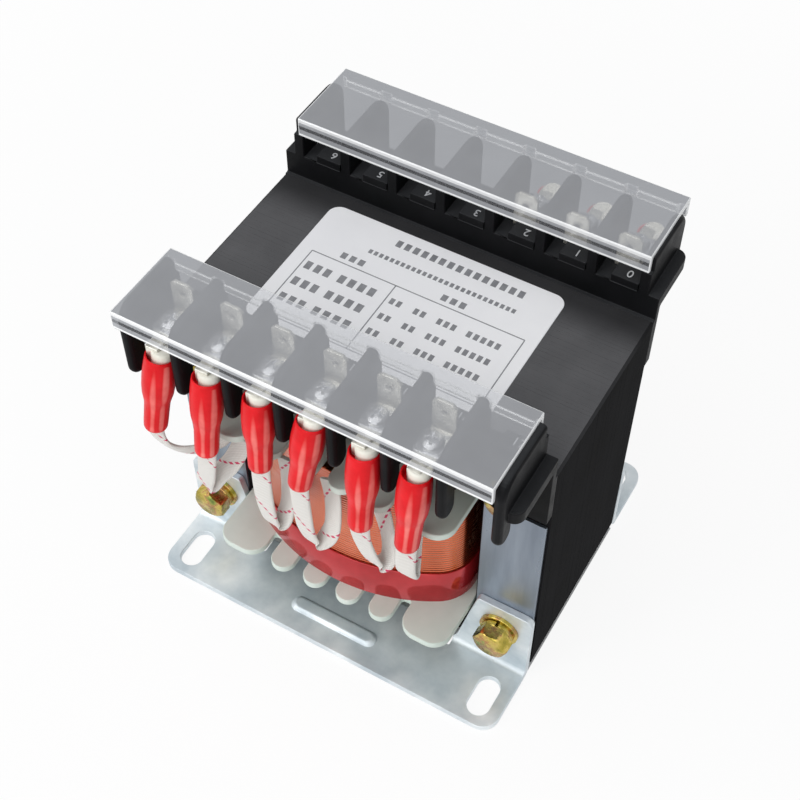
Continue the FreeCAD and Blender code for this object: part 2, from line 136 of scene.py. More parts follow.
def lathe(profile, sides, along=(0, 0, 1)):
    # profile is pairs of distance along the axis and radius
    turn = Vector((0, 0, 1)).rotation_difference(Vector(along))
    return loft([[turn @ Vector((a, b, d)) for a, b in circle(0, 0, r, sides)] for d, r in profile])


def solid(name, shapes):
    joined = bmesh.new()
    for shape in shapes:
        part = bpy.data.meshes.new("part")
        shape.to_mesh(part)
        shape.free()
        joined.from_mesh(part)
        bpy.data.meshes.remove(part)
    mesh = bpy.data.meshes.new(name)
    joined.to_mesh(mesh)
    joined.free()
    made = bpy.data.objects.new(name, mesh)
    scene.collection.objects.link(made)
    return made


def evaluated(made):
    graph = bpy.context.evaluated_depsgraph_get()
    return bpy.data.meshes.new_from_object(made.evaluated_get(graph), depsgraph=graph)


def bake(made):
    mesh, old = evaluated(made), made.data
    made.modifiers.clear()
    made.data = mesh
    bpy.data.meshes.remove(old)
    return made


def scrap(made):
    mesh = made.data
    bpy.data.objects.remove(made)
    bpy.data.meshes.remove(mesh)


def shapeOf(made):
    # the body is taken out of its object
    shape = bmesh.new()
    shape.from_mesh(made.data)
    scrap(made)
    return shape


def unite(name, shapes, cuts=()):
    # the later shapes are added to the first one, and then the cuts are taken away
    made = solid(name, shapes[:1])
    for operation, group in (("UNION", shapes[1:]), ("DIFFERENCE", cuts)):
        if not group:
            continue
        tools = bpy.data.collections.new(operation)
        scene.collection.children.link(tools)
        for shape in group:
            tool = solid("tool", [shape])
            scene.collection.objects.unlink(tool)
            tools.objects.link(tool)
        put(made.modifiers.new(operation, "BOOLEAN"), operation=operation, operand_type="COLLECTION",
            collection=tools, solver="EXACT")
        bake(made)
        for tool in list(tools.objects):
            scrap(tool)
        bpy.data.collections.remove(tools)
    return made


def toEnd(made, end):
    # the rear is drawn first, and the front is its mirror image
    if end < 0:
        made.data.transform(Matrix.Diagonal((1, -1, 1, 1)))
        made.data.flip_normals()
    return made


def soften(made, width, segments=2, angle=30, weighted=True):
    shape = bmesh.new()
    shape.from_mesh(made.data)
    bmesh.ops.remove_doubles(shape, verts=shape.verts, dist=0.002)
    bmesh.ops.dissolve_limit(shape, angle_limit=math.radians(0.6), verts=shape.verts, edges=shape.edges)
    shape.to_mesh(made.data)
    shape.free()
    if width:
        put(made.modifiers.new("edges", "BEVEL"), width=width, segments=segments, limit_method="ANGLE",
            angle_limit=math.radians(angle), use_clamp_overlap=False, miter_outer="MITER_ARC")
    made.data.shade_smooth()
    if weighted:
        put(made.modifiers.new("normals", "WEIGHTED_NORMAL"), keep_sharp=True, weight=100)
    return bake(made)


def smooth(made, angle=40):
    made.data.shade_smooth()
    made.data.set_sharp_from_angle(angle=math.radians(angle))
    return made


def dress(made, finish, slotName, *nodes):
    made.data.transform(Matrix.Scale(mm, 4))
    if finish:
        made.data.materials.clear()
        made.data.materials.append(finish)
    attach(made, "root")
    if nodes:
        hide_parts(*nodes)
    return made


# Rows of equal things, placed by Geometry Nodes

def rowTree():
    tree = bpy.data.node_groups.new("placedRow", "GeometryNodeTree")
    wanted = {"Geometry": "Geometry", "Item": "Object", "Count": "Int", "Start": "Vector", "Step": "Vector",
              "Stray": "Vector", "Turn": "Vector", "Seed": "Int", "Finish": "Material"}
    keys = {name: tree.interface.new_socket(name, in_out="INPUT", socket_type="NodeSocket" + kind).identifier
            for name, kind in wanted.items()}
    tree.interface.new_socket("Geometry", in_out="OUTPUT", socket_type="NodeSocketGeometry")

    def add(kind, inputs, output=0, **settings):
        made = put(tree.nodes.new(kind), **settings)
        for key, value in inputs.items():
            if isinstance(value, bpy.types.NodeSocket):
                tree.links.new(value, made.inputs[key])
            else:
                made.inputs[key].default_value = value
        return made.outputs[output] if made.outputs else made

    given = tree.nodes.new("NodeGroupInput").outputs
    line = add("GeometryNodeMeshLine",
               {"Count": given["Count"], "Start Location": given["Start"], "Offset": given["Step"]}, mode="OFFSET")
    spread = []
    for name in ("Stray", "Turn"):
        least = add("ShaderNodeVectorMath", {0: given[name], "Scale": -1.0}, operation="SCALE")
        seed = add("ShaderNodeMath", {0: given["Seed"], 1: float(len(spread))}, operation="ADD")
        spread.append(add("FunctionNodeRandomValue", {0: least, 1: given[name], "Seed": seed},
                          data_type="FLOAT_VECTOR"))
    moved = add("GeometryNodeSetPosition", {"Geometry": line, "Offset": spread[0]})
    item = add("GeometryNodeObjectInfo", {"Object": given["Item"]}, "Geometry")
    placed = add("GeometryNodeInstanceOnPoints", {"Points": moved, "Instance": item, "Rotation": spread[1]})
    real = add("GeometryNodeRealizeInstances", {"Geometry": placed})
    dressed = add("GeometryNodeSetMaterial", {"Geometry": real, "Material": given["Finish"]})
    add("NodeGroupOutput", {0: dressed})
    return tree, keys


rowNodes, rowKeys = rowTree()


def rowOf(name, item, lines, finish, stray=(0, 0, 0), turn=(0, 0, 0), seed=1):
    # lines are the start, the step and the count of each row
    made = []
    for number, (start, step, count) in enumerate(lines):
        row = solid(name, [])
        nodes = row.modifiers.new("row", "NODES")
        nodes.node_group = rowNodes
        values = {"Item": item, "Count": count, "Start": start, "Step": step, "Stray": stray, "Turn": turn,
                  "Seed": seed + 10 * number, "Finish": finish}
        for key, value in values.items():
            nodes[rowKeys[key]] = [float(v) for v in value] if isinstance(value, tuple) else value
        made.append(bake(row))
    if len(made) > 1:
        with bpy.context.temp_override(active_object=made[0], selected_editable_objects=made):
            bpy.ops.object.join()
    made[0].name = name
    scrap(item)
    return made[0]


# Finishes

def paint(code):
    # a colour code, or one number for a grey level
    if not isinstance(code, str):
        return (code, code, code, 1)
    levels = [int(code[i:i + 2], 16) / 255 for i in (1, 3, 5)]
    return [c / 12.92 if c <= 0.04045 else ((c + 0.055) / 1.055) ** 2.4 for c in levels] + [1.0]


def operator(operation, swapped=False):
    def apply(self, other):
        return self.finish.maths(operation, *((other, self) if swapped else (self, other)))
    return apply


class Wire:
    # a socket that can stand in a Python expression
    def __init__(self, finish, socket):
        self.finish = finish
        self.socket = socket

    __add__, __radd__ = operator("ADD"), operator("ADD", True)
    __sub__, __rsub__ = operator("SUBTRACT"), operator("SUBTRACT", True)
    __mul__, __rmul__ = operator("MULTIPLY"), operator("MULTIPLY", True)
    __truediv__, __rtruediv__ = operator("DIVIDE"), operator("DIVIDE", True)
    __gt__, __lt__ = operator("GREATER_THAN"), operator("LESS_THAN")


class Finish:
    # the nodes of one material, given by its new name and its look, or of the world
    def __init__(self, owner, look=None):
        if isinstance(owner, str):
            owner = bpy.data.materials.new(owner)
        owner.use_nodes = True
        self.owner = owner
        self.look = look
        self.tree = owner.node_tree
        self.tree.nodes.clear()

    def node(self, kind, settings=None, inputs=None, output=0):
        made = self.tree.nodes.new("ShaderNode" + kind)
        for key, value in (settings or {}).items():
            if key == "stops":
                ramp = made.color_ramp.elements
                for place, colour in value[1:-1]:
                    ramp.new(place)
                ramp[0].position = value[0][0]
                ramp[-1].position = value[-1][0]
                for element, (place, colour) in zip(ramp, value):
                    element.color = paint(colour)
            else:
                setattr(made, key, value)
        for key, value in (inputs or {}).items():
            if isinstance(value, Wire):
                self.tree.links.new(value.socket, made.inputs[key])
            else:
                made.inputs[key].default_value = paint(value) if isinstance(value, str) else value
        return Wire(self, made.outputs[output])

    def places(self, size, stretch=(1, 1, 1), shift=(0, 0, 0)):
        # Object coordinates in units of a pattern's size in millimetres, longer where stretch is more
        scale = [1 / (mm * size * s) for s in stretch]
        spot = self.node("TexCoord", output="Object")
        return self.node("Mapping", None, {"Vector": spot, "Scale": scale, "Location": shift})

    def clouds(self, size, stretch=(1, 1, 1), detail=3.0, low=0.3, high=0.7, shift=(0, 0, 0)):
        noise = self.node("TexNoise", None, {"Vector": self.places(size, stretch, shift), "Scale": 1.0,
                                             "Detail": detail, "Roughness": 0.55})
        return self.node("MapRange", None, {0: noise, 1: low, 2: high})

    def ease(self, value, start, end, low=0.0, high=1.0):
        # from low to high, softly, while the value goes from start to end
        return self.node("MapRange", {"interpolation_type": "SMOOTHSTEP"},
                         {0: value, 1: start, 2: end, 3: low, 4: high})

    def span(self, factor, low, high):
        return low + (high - low) * factor

    def mix(self, factor, a, b):
        return self.node("Mix", {"data_type": "RGBA"}, {0: factor, 6: a, 7: b}, 2)

    def tinted(self, factor):
        return self.mix(factor, self.look["dark"], self.look["light"])

    def facing(self):
        # how far the surface looks to the right, to the rear and up
        return self.parts(self.node("NewGeometry", output="True Normal"))

    def parts(self, vector):
        return [self.node("SeparateXYZ", None, {0: vector}, i) for i in range(3)]

    def maths(self, operation, *values):
        return self.node("Math", {"operation": operation}, dict(enumerate(values)))

    def coat(self, colour, gloss=None, relief=None, **more):
        # gloss and relief are the patterns that the look's roughness and relief follow
        inputs = {"Base Color": colour, **self.look.get("fixed", {}), **more}
        if gloss is not None:
            inputs["Roughness"] = self.span(gloss, *self.look["rough"])
        if relief is not None:
            inputs["Normal"] = self.node("Bump", None, {"Height": relief, "Distance": self.look["relief"] * mm,
                                                        "Strength": 1.0})
        return self.surface(self.node("BsdfPrincipled", None, inputs))

    def surface(self, shader):
        kind = "World" if isinstance(self.owner, bpy.types.World) else "Material"
        end = self.tree.nodes.new("ShaderNodeOutput" + kind)
        self.tree.links.new(shader.socket, end.inputs["Surface"])
        return self.owner


def madeFinish(name, look):
    # colour and gloss drift over patches, and a fine grain gives the relief; where the look has top colours, faces
    # that look up get them as painted light, and a shade span fades that painted light as painted shade
    look = {**plainLook, **look}
    made = Finish(name, look)
    stretch = look["stretch"]
    patch = made.clouds(look["patch"], stretch, 4.0)
    grain = made.clouds(look["grain"], stretch, 2.0, shift=(3, 7, 5))
    colour = made.tinted(patch)
    # painted light: faces that look up are painted in the lighter top colours
    if "top" in look:
        paintedTopLight = made.ease(made.facing()[2], 0.55, 0.95)
        # painted shade: towards the rear, across the shade span, the painted top light falls to a quarter
        if "paintedShadeSpan" in look:
            paintedTopLight = paintedTopLight * made.ease(made.parts(made.places(1.0))[1], *look["paintedShadeSpan"], 1.0, 0.25)
        colour = made.mix(paintedTopLight, colour, made.mix(patch, *look["top"]))
    return made.coat(colour, made.clouds(look["patch"] * 0.6, stretch), grain)


# what a finish has where it doesn't say otherwise; patch, grain and relief are in millimetres
plainLook = {"grain": 0.3, "rough": (0.4, 0.5), "relief": 0.01, "stretch": (1, 1, 1)}
finishes = {
    # the core's top colours are painted light on faces that look up; its shade span is painted shade towards the rear
    # terminal block
    "coreVarnish": {"dark": "#161617", "light": "#1c1c1e", "top": ("#58585a", "#626264"), "paintedShadeSpan": (10, 21),
                    "patch": 14, "grain": 0.35, "rough": (0.45, 0.58), "relief": 0.012,
                    "fixed": {"Specular IOR Level": 0.0, "Coat Weight": 0.05, "Coat Roughness": 0.3}},
    "zincSheet": {"dark": "#b8c4cb", "light": "#eff4f6", "patch": 12, "grain": 0.5, "rough": (0.38, 0.52),
                  "relief": 0.006, "fixed": {"Metallic": 0.55}},
    "stripSteel": {"dark": "#737c88", "light": "#98a1ac", "patch": 6, "grain": 0.4, "rough": (0.26, 0.38),
                   "relief": 0.004, "stretch": (1, 1, 9), "fixed": {"Metallic": 0.8}},
    "nylon": {"dark": "#cad7cd", "light": "#dbe5dd", "patch": 12, "rough": (0.4, 0.52),
              "fixed": {"Specular IOR Level": 0.35}},
    # the moulding's top colours are painted light on faces that look up
    "blackMoulding": {"dark": "#121314", "light": "#19191b", "top": ("#2b2c2e", "#353638"), "patch": 10,
                      "grain": 0.25, "rough": (0.4, 0.55), "relief": 0.015, "fixed": {"Specular IOR Level": 0.05}},
    "windingPaper": {"dark": "#b79a66", "light": "#cbb07c", "patch": 6, "grain": 0.4, "rough": (0.7, 0.8),
                     "relief": 0.02},
    "creamFlare": {"dark": "#e2dfd2", "light": "#f2f0e6", "patch": 3, "fixed": {"Specular IOR Level": 0.3}},
    "tinPlate": {"dark": "#cfccbf", "light": "#efede4", "patch": 2.5, "rough": (0.28, 0.42), "relief": 0.006,
                 "fixed": {"Metallic": 0.6}},
    "zincScrew": {"dark": "#c4c6c9", "light": "#e6e7e9", "patch": 1.5, "grain": 0.25, "rough": (0.22, 0.36),
                  "relief": 0.006, "fixed": {"Metallic": 0.85}},
    "labelFilm": {"dark": "#eeeef1", "light": "#f8f8fa", "patch": 30, "grain": 0.4, "rough": (0.32, 0.4),
                  "relief": 0.003, "fixed": {"Specular IOR Level": 0.3}},
    "labelInk": {"dark": "#7b7c80", "light": "#8f9094", "patch": 2, "relief": 0.003},
    "ledgeDigits": {"dark": "#a9abae", "light": "#c4c6c9", "patch": 3},
}
finish = {name: madeFinish(name, look) for name, look in finishes.items()}

# painted highlights: the boot colour is mixed towards the highlight colour along two lines on each boot
bootLook = {"dark": "#d4141a", "light": "#e7222a", "paintedHighlightColour": "#f78f86", "strength": (0.4, 0.85),
            "paintedHighlightAxes": ((-0.28, 0.96, 0.0), (0.87, -0.5, 0.0)), "rough": (0.3, 0.38), "relief": 0.01,
            "fixed": {"Specular IOR Level": 0.1, "Coat Weight": 0.05, "Coat Roughness": 0.08}}


def bootVinyl():
    # painted highlights: the vinyl's colour is painted paler along two lines down each boot, where its normal points
    # along one of two fixed directions
    made = Finish("bootVinyl", bootLook)
    patch = made.clouds(5, detail=4.0)
    colour = made.tinted(patch)
    normal = made.node("NewGeometry", output="Normal")
    for line in bootLook["paintedHighlightAxes"]:
        along = made.node("VectorMath", {"operation": "DOT_PRODUCT"}, {0: normal, 1: line}, 1)
        paintedHighlightMask = made.ease(made.maths("ABSOLUTE", along), 0.97, 1.0)
        colour = made.mix(paintedHighlightMask * made.span(patch, *bootLook["strength"]), colour, bootLook["paintedHighlightColour"])
    return made.coat(colour, patch, made.clouds(0.5))


copperLook = {"dark": "#bb5028", "light": "#dc7246", "rough": (0.13, 0.18),
              "fixed": {"Metallic": 0.95, "Coat Weight": 0.6, "Coat Roughness": 0.04}}


def copperWinding():
    made = Finish("copperWinding", copperLook)
    tint = made.clouds(16, (1, 1, 1.6), 2.0)
    return made.coat(made.tinted(tint), tint)


filmLook = {"dark": "#a81c21", "light": "#cb343a", "rough": (0.08, 0.13), "relief": 0.03,
            "fixed": {"Metallic": 0.4, "Coat Weight": 0.25, "Coat Roughness": 0.03, "Alpha": 0.95}}


def redFilm():
    made = Finish("redFilm", filmLook)
    tint = made.clouds(10, (1, 1, 1.5), 3.0)
    return made.coat(made.tinted(tint), tint, made.clouds(6, (1, 1, 3), 1.0))


# the wall's stops give its haze from its lower edge, at 0, to its top, at 1; its dense bands at the lower edge and
# near the top are painted highlights
coverLook = {"tint": "#d3d5da", "white": "#fafbfc", "haze": (0.4136, 0.4664), "rim": 0.5, "edge": (0.18, 0.9),
             "rough": (0.1, 0.18), "relief": 0.01, "shade": 0.15, "low": 95.1, "high": 5.0,
             "barRoom": (25.4, 44.0), "barHaze": (0.15, 1.0),
             "barLines": ((0.2, 0.07), (0.6, 0.06)),
             "wall": ((0.0, 0.92), (0.15, 0.92), (0.19, 0.5), (0.4, 0.5), (0.44, 0.14), (0.6, 0.14), (0.64, 0.5),
                      (0.78, 0.55), (0.82, 0.8), (1.0, 0.85))}


def coverClear():
    # each wall is hazy on the face it is seen by, and its edges, its bar lines and its bands at the lower edge and
    # the top are painted whiter and denser: painted highlights of light caught in the clear plastic
    look = coverLook
    made = Finish("coverClear", look)

    def most(*values):
        top = values[0]
        for value in values[1:]:
            top = made.maths("MAXIMUM", top, value)
        return top

    facing = made.facing()
    right, rear, up = [made.maths("ABSOLUTE", side) for side in facing]
    spot = made.parts(made.places(1.0))
    deep, height = made.maths("ABSOLUTE", spot[1]), (spot[2] - look["low"]) / look["high"]
    haze = made.span(made.clouds(18), *look["haze"]) + look["rim"] * made.node("Fresnel", None, {"IOR": 1.45})
    wall = made.node("ValToRGB", {"stops": look["wall"]}, {0: height})
    upright = rear > 0.95
    bar = upright * (deep > look["barRoom"][0]) * (deep < look["barRoom"][1])
    line = most(*[made.maths("COMPARE", height, place, half) for place, half in look["barLines"]])
    edge = most(most(rear, up, right) < 0.985, right > 0.9)
    alpha = made.span(upright, haze, wall)
    alpha = made.span(bar, alpha, made.span(line, *look["barHaze"]))
    alpha = made.span(edge, alpha, made.span(facing[2] > -0.2, *look["edge"]))
    shadow = made.node("LightPath", output="Is Shadow Ray")
    alpha = alpha * (1 - made.node("NewGeometry", output="Backfacing")) * made.span(shadow, 1, look["shade"])
    # painted highlights: edges, bars and the wall's dense bands are mixed to white
    paintedHighlightMask = most(edge, bar, upright * (wall > 0.7))
    return made.coat(made.mix(paintedHighlightMask, look["tint"], look["white"]), made.clouds(0.7, (4, 1, 1), 2.0, 0.55, 0.75),
                     made.clouds(9, detail=1.0), Alpha=made.maths("MINIMUM", alpha, 1.0))


zincLook = {"stops": ((0.0, "#6d6a2e"), (0.3, "#a8983f"), (0.5, "#cdb764"), (0.64, "#b7885a"), (0.8, "#98a052"),
                      (1.0, "#64763f")), "rough": (0.2, 0.36), "relief": 0.006, "fixed": {"Metallic": 1.0}}


def yellowZinc():
    made = Finish("yellowZinc", zincLook)
    swirl = made.clouds(4.5, low=0.25, high=0.75)
    return made.coat(made.node("ValToRGB", {"stops": zincLook["stops"]}, {0: swirl}), made.clouds(1.2),
                     made.clouds(0.4))


sleeveLook = {"white": "#f3f1ed", "shade": "#d3d0ca", "tracer": "#cc2f5c", "rib": 0.55, "slant": 5.0,
              "tracerEvery": 13.0, "tracerSlant": 2.4, "tracerHalf": 0.075, "dash": 1.3, "dashLow": 0.36,
              "relief": 0.06, "fixed": {"Roughness": 0.78, "Sheen Weight": 0.3, "Sheen Roughness": 0.5}}


def sleeveWeave():
    # the sleeve's own map runs across from 0 to 1, and along in millimetres
    look = sleeveLook
    made = Finish("sleeveWeave", look)
    across, along = made.parts(made.node("UVMap", {"uv_map": "sleeve"}))[:2]

    def wave(value, length):
        return made.maths("SINE", value * (2 * math.pi / length)) * 0.5 + 0.5

    slant = across * look["slant"]
    weave = wave(along + slant, look["rib"]) * wave(along - slant, look["rib"])
    climb = made.maths("FRACT", along / look["tracerEvery"]) * look["tracerSlant"]
    dash = wave(along, look["dash"]) > look["dashLow"]
    thread = made.maths("COMPARE", across, climb, look["tracerHalf"]) * dash
    colour = made.mix(thread, made.mix(weave, look["shade"], look["white"]), look["tracer"])
    return made.coat(colour, relief=weave)


finish.update({"bootVinyl": bootVinyl(), "copperWinding": copperWinding(), "redFilm": redFilm(),
               "coverClear": coverClear(), "yellowZinc": yellowZinc(), "sleeveWeave": sleeveWeave()})
print("finishes made:", len(finish))


# Core: a stack of punched sheets

coreSize = {"width": 96, "low": 2.8, "high": 82, "depth": 47, "corner": 0.6, "windowLow": 18.4, "windowHigh": 66.4,
            "limb": 16, "windowOuter": 32, "sheets": 94, "gap": 0.005}
boltPlace = {"x": 40, "low": 17, "high": 74, "hole": 2.75}


def boltHole(side, row, near, far, sides=24):
    p = boltPlace
    return prism(circle(side * p["x"], p[row], p["hole"], sides), near, far, frontOn)


def coreSheets():
    c = coreSize
    tall = (c["high"] - c["low"]) / 2
    outline = roundBox(c["width"] / 2, tall, c["corner"], (0, c["low"] + tall), 1)
    pitch = c["depth"] / c["sheets"]
    cuts = [block(side * c["limb"], side * c["windowOuter"], -1, 1, c["windowLow"], c["windowHigh"])
            for side in (-1, 1)]
    cuts += [boltHole(side, row, -1, 1, 16) for row in ("low", "high") for side in (-1, 1)]
    sheet = unite("sheet", [prism(outline, 0, pitch - c["gap"], frontOn)], cuts)
    stack = rowOf("core_sheets", sheet, [((0, -c["depth"] / 2, 0), (0, pitch, 0), c["sheets"])],
                  finish["coreVarnish"], stray=(0.012, 0, 0.012), seed=4)
    return dress(stack, None, "core_steel", "core_laminations")


coreSheets()
print("core stacked")


# Feet and side strips

ends = (("rear", 1), ("front", -1))
roundTurns = [math.radians(turn) for turn in (0, 25, 50, 70, 90)]
# the bead's figures are half its length and width, its rise, its place and how far its sides draw in
footSize = {"half": 48, "sheet": 1.8, "face": 24.3, "reach": 44.5, "corner": 4.5, "bend": 1.6, "outerBend": 2.4,
            "tab": 25.2, "tabCorner": 2, "shoulder": (34.4, 1), "flank": ((32, 18.4), (29, 5)), "inner": 28,
            "notch": 26.4, "slot": (42, 36.5, 5.8, 11), "bead": (12, 2.1, 1.0, 37.2, 1.25), "edge": 0.22}


def beadShape(low):
    halfX, halfY, rise, y, draw = footSize["bead"]
    layers = []
    for t in roundTurns:
        inset = draw * (1 - math.cos(t))
        outline = roundBox(halfX - inset, halfY - inset, (halfY - inset) * 0.9, (0, y), 8)
        layers.append((outline, low + rise * math.sin(t)))
    return loft(layered([(layers[0][0], low - 0.3)] + layers))


def footBracket(label, end):
    f = footSize
    half, inner, face, sheet, corner, bend = [f[key] for key in ("half", "inner", "face", "sheet", "corner", "bend")]
    outer, far = face + sheet, f["reach"] - corner
    outline = [(-half, face), (half, face)] + arc(half - corner, far, corner, 0, 90, 8)
    outline += arc(corner - half, far, corner, 90, 180, 8)
    shapes, cuts = [prism(outline, 0, sheet)], []
    for side in (-1, 1):
        r = f["tabCorner"]
        tab = [(half, 0)] + arc(half - r, f["tab"] - r, r, 0, 90, 6)
        x, r = f["shoulder"]
        tab += arc(x, f["tab"] - r, r, 90, 160, 4) + [*f["flank"], (inner, sheet), (inner, 0)]
        shapes.append(prism([(side * a, b) for a, b in tab], face, outer, frontOn))
        fillet = [(outer - 0.2, sheet - 0.2), (outer + bend, sheet - 0.2)]
        fillet += arc(outer + bend, sheet + bend, bend, 270, 180, 8) + [(outer - 0.2, sheet + bend)]
        shapes.append(prism(fillet, side * half, side * inner, sideOn))
        r = f["outerBend"]
        under = [(face - 1, -1), (face + r, -1)] + arc(face + r, r, r, 270, 180, 8) + [(face - 1, r)]
        cuts.append(prism(under, side * (half + 1), side * inner, sideOn))
        cuts.append(block(side * inner, side * f["notch"], face - 1, outer + r, -1, 30))
        x, y, wide, long = f["slot"]
        cuts.append(prism(roundBox(wide / 2, long / 2, wide / 2 - 0.01, (side * x, y), 10), -2, 4))
        cuts.append(boltHole(side, "low", face - 2, outer + 2))
    shapes.append(beadShape(sheet))
    cuts.append(beadShape(-0.05))
    made = toEnd(unite(label + "_foot", shapes, cuts), end)
    return dress(soften(made, f["edge"]), finish["zincSheet"], "clear_zinc", label + "_foot_bracket")


for label, end in ends:
    footBracket(label, end)

stripSize = {"half": 7.5, "low": 2.8, "high": 62.3, "near": 23.5, "far": 24.3, "corner": 0.4, "edge": 0.12}


def strip(side, end, name):
    s = stripSize
    half = (s["high"] - s["low"]) / 2
    outline = roundBox(s["half"], half, s["corner"], (side * boltPlace["x"], s["low"] + half), 4)
    made = unite(name + "_steel", [prism(outline, s["near"], s["far"], frontOn)], [boltHole(side, "low", 20, 30)])
    return dress(soften(toEnd(made, end), s["edge"]), finish["stripSteel"], "bare_steel", name + "_strip")


for label, end in reversed(ends):
    for side, hand in ((-1, "left"), (1, "right")):
        strip(side, end, label + "_" + hand)
print("feet and strips made")


# Coil former, winding and film

formerSize = {"low": 18.4, "high": 66.2, "flange": 2.0, "half": 31.8, "reach": 40, "root": 32, "rootCorner": 0.8,
              "lobe": 19.4, "lobeCorner": 4.5, "tube": (17.7, 25.2, 0.8), "bore": (16.2, 23.7), "fingers": 4,
              "pitch": 9.2, "finger": 6.2, "edge": 0.3}


def flangeEdge():
    f = formerSize
    r, small, lobe, tip = f["lobeCorner"], f["rootCorner"], f["lobe"], f["finger"] / 2
    low, high = f["root"] + small, f["reach"] - r
    edge = arc(f["half"] - r, high, r, 0, 90, 8) + arc(lobe + r, high, r, 90, 180, 8)
    edge += arc(lobe - small, low, small, 0, -90, 4)
    for i in range(f["fingers"] // 2):
        x = ((f["fingers"] - 1) / 2 - i) * f["pitch"]
        edge += arc(x + tip + small, low, small, 270, 180, 4) + arc(x, f["reach"] - tip, tip, 0, 180, 14)
        edge += arc(x - tip - small, low, small, 0, -90, 4)
    return mirrored(edge)


def coilFormer():
    f = formerSize
    edge = flangeEdge()
    outline = edge + [(-a, -b) for a, b in edge]
    shapes = [prism(roundBox(*f["tube"]), f["low"] + 0.5, f["high"] - 0.5),
              prism(outline, f["low"], f["low"] + f["flange"]), prism(outline, f["high"] - f["flange"], f["high"])]
    x, y = f["bore"]
    made = unite("winding_former", shapes, [block(-x, x, -y, y, f["low"] - 1, f["high"] + 1)])
    return dress(soften(made, f["edge"], 3), finish["nylon"], "nylon", "coil_former")


coilFormer()

# sections are pairs of the way out and the way up, the turn's in wire radii
coilSize = {"half": 29.3, "shoulder": 25.1, "bulge": 35.3, "corner": 10, "low": 20.4, "high": 64.05, "wire": 0.92,
            "pack": 0.985, "turn": ((0, -0.93), (0, 0.93), (-0.06, 1), (-1, 1), (-1, -1), (-0.06, -1)),
            "film": ((0.6, 20.4), (0.6, 31.95), (0.4, 32.2), (0.2, 32.2), (0.05, 32.0), (0.05, 20.4))}


def coilOutline(grow):
    c = coilSize
    rise = c["bulge"] - c["shoulder"]
    bow = (c["half"] ** 2 + rise ** 2) / (2 * rise)
    centre = c["bulge"] - bow
    cornerX = c["half"] - c["corner"]
    cornerY = centre + math.sqrt((bow - c["corner"]) ** 2 - cornerX ** 2)
    turn = math.degrees(math.atan2(cornerY - centre, cornerX))
    rear = arc(cornerX, cornerY, c["corner"] + grow, 0, turn, 10)
    rear += arc(0, centre, bow + grow, turn, 180 - turn, 32)[1:-1]
    rear += arc(-cornerX, cornerY, c["corner"] + grow, 180 - turn, 180, 10)
    return rear + [(-a, -b) for a, b in rear]


def windingTurns():
    # one turn of wire, then the whole layer of them
    c = coilSize
    radius = c["wire"] / 2
    turn = hoop(layered([(coilOutline(radius * out), radius * up) for out, up in c["turn"]]))
    count = int((c["high"] - c["low"]) / (c["wire"] * c["pack"]))
    step = (c["high"] - c["low"] - c["wire"]) / (count - 1)
    lines = [((0, 0, c["low"] + radius), (0, 0, step), count)]
    turns = rowOf("winding_turns", smooth(solid("turn", [turn]), 50), lines, finish["copperWinding"],
                  stray=(0.006, 0.006, 0.001), seed=7)
    return dress(turns, None, "copper", "secondary_winding")


windingTurns()


def filmCollar():
    collar = hoop(layered([(coilOutline(out), up) for out, up in coilSize["film"]]))
    return dress(smooth(solid("film_collar", [collar]), 50), finish["redFilm"], "red_film", "red_film_collar")


filmCollar()
for name, look in (("primary_winding", "copperWinding"), ("winding_wrap", "windingPaper")):
    mesh = frame["nodes"][name].data
    mesh.materials.clear()
    mesh.materials.append(finish[look])
print("coil made")


# Terminal blocks

blockSize = {"half": 48, "face": 23.5, "inner": 24.5, "skirt": 26.3, "skirtLow": 67, "coreTop": 82, "shelfLow": 85,
             "shelfTop": 88.5, "shelfReach": 37.5, "ear": 41, "earCorner": 2.5, "positions": 7, "pitch": 12.6,
             "fin": 2.5, "finTop": 98.9, "finReach": 43.5, "finCorner": 5.0, "tail": 5.0, "tailLow": 80.5,
             "finRound": 1.1, "lipStep": 25.7, "lipEnd": 94.7, "ledge": (1.5, 4.7, 2.0), "well": (4.0, 3.6),
             "screw": 35.3, "sink": 0.5, "edge": 0.25}


def centreOf(i):
    return (i - (blockSize["positions"] - 1) / 2) * blockSize["pitch"]


def finOutline(inset):
    b = blockSize
    half, corner = b["tail"] / 2, b["finCorner"]
    top, reach = b["shelfTop"] - b["sink"], b["shelfReach"] - b["sink"]
    outline = [(b["inner"], top), (b["inner"], b["lipEnd"]), (b["lipStep"], b["lipEnd"]),
               (b["lipStep"], b["finTop"] - inset)]
    outline += arc(b["finReach"] - corner, b["finTop"] - corner, corner - inset, 90, 0, 10)
    outline += arc(b["finReach"] - half, b["tailLow"], half - inset, 0, -180, 12)
    return outline + [(b["finReach"] - b["tail"] + inset, b["shelfLow"]), (reach, b["shelfLow"]), (reach, top)]


def finShape(x):
    # the outline draws in towards both sides, so that the nose and the tail are round
    r, width = blockSize["finRound"], blockSize["fin"]
    half = [(x + r * (1 - math.cos(t)), r * (1 - math.sin(t))) for t in roundTurns]
    rings = half + [(2 * x + width - place, inset) for place, inset in reversed(half)]
    return loft(layered([(finOutline(inset), place) for place, inset in rings], sideOn))


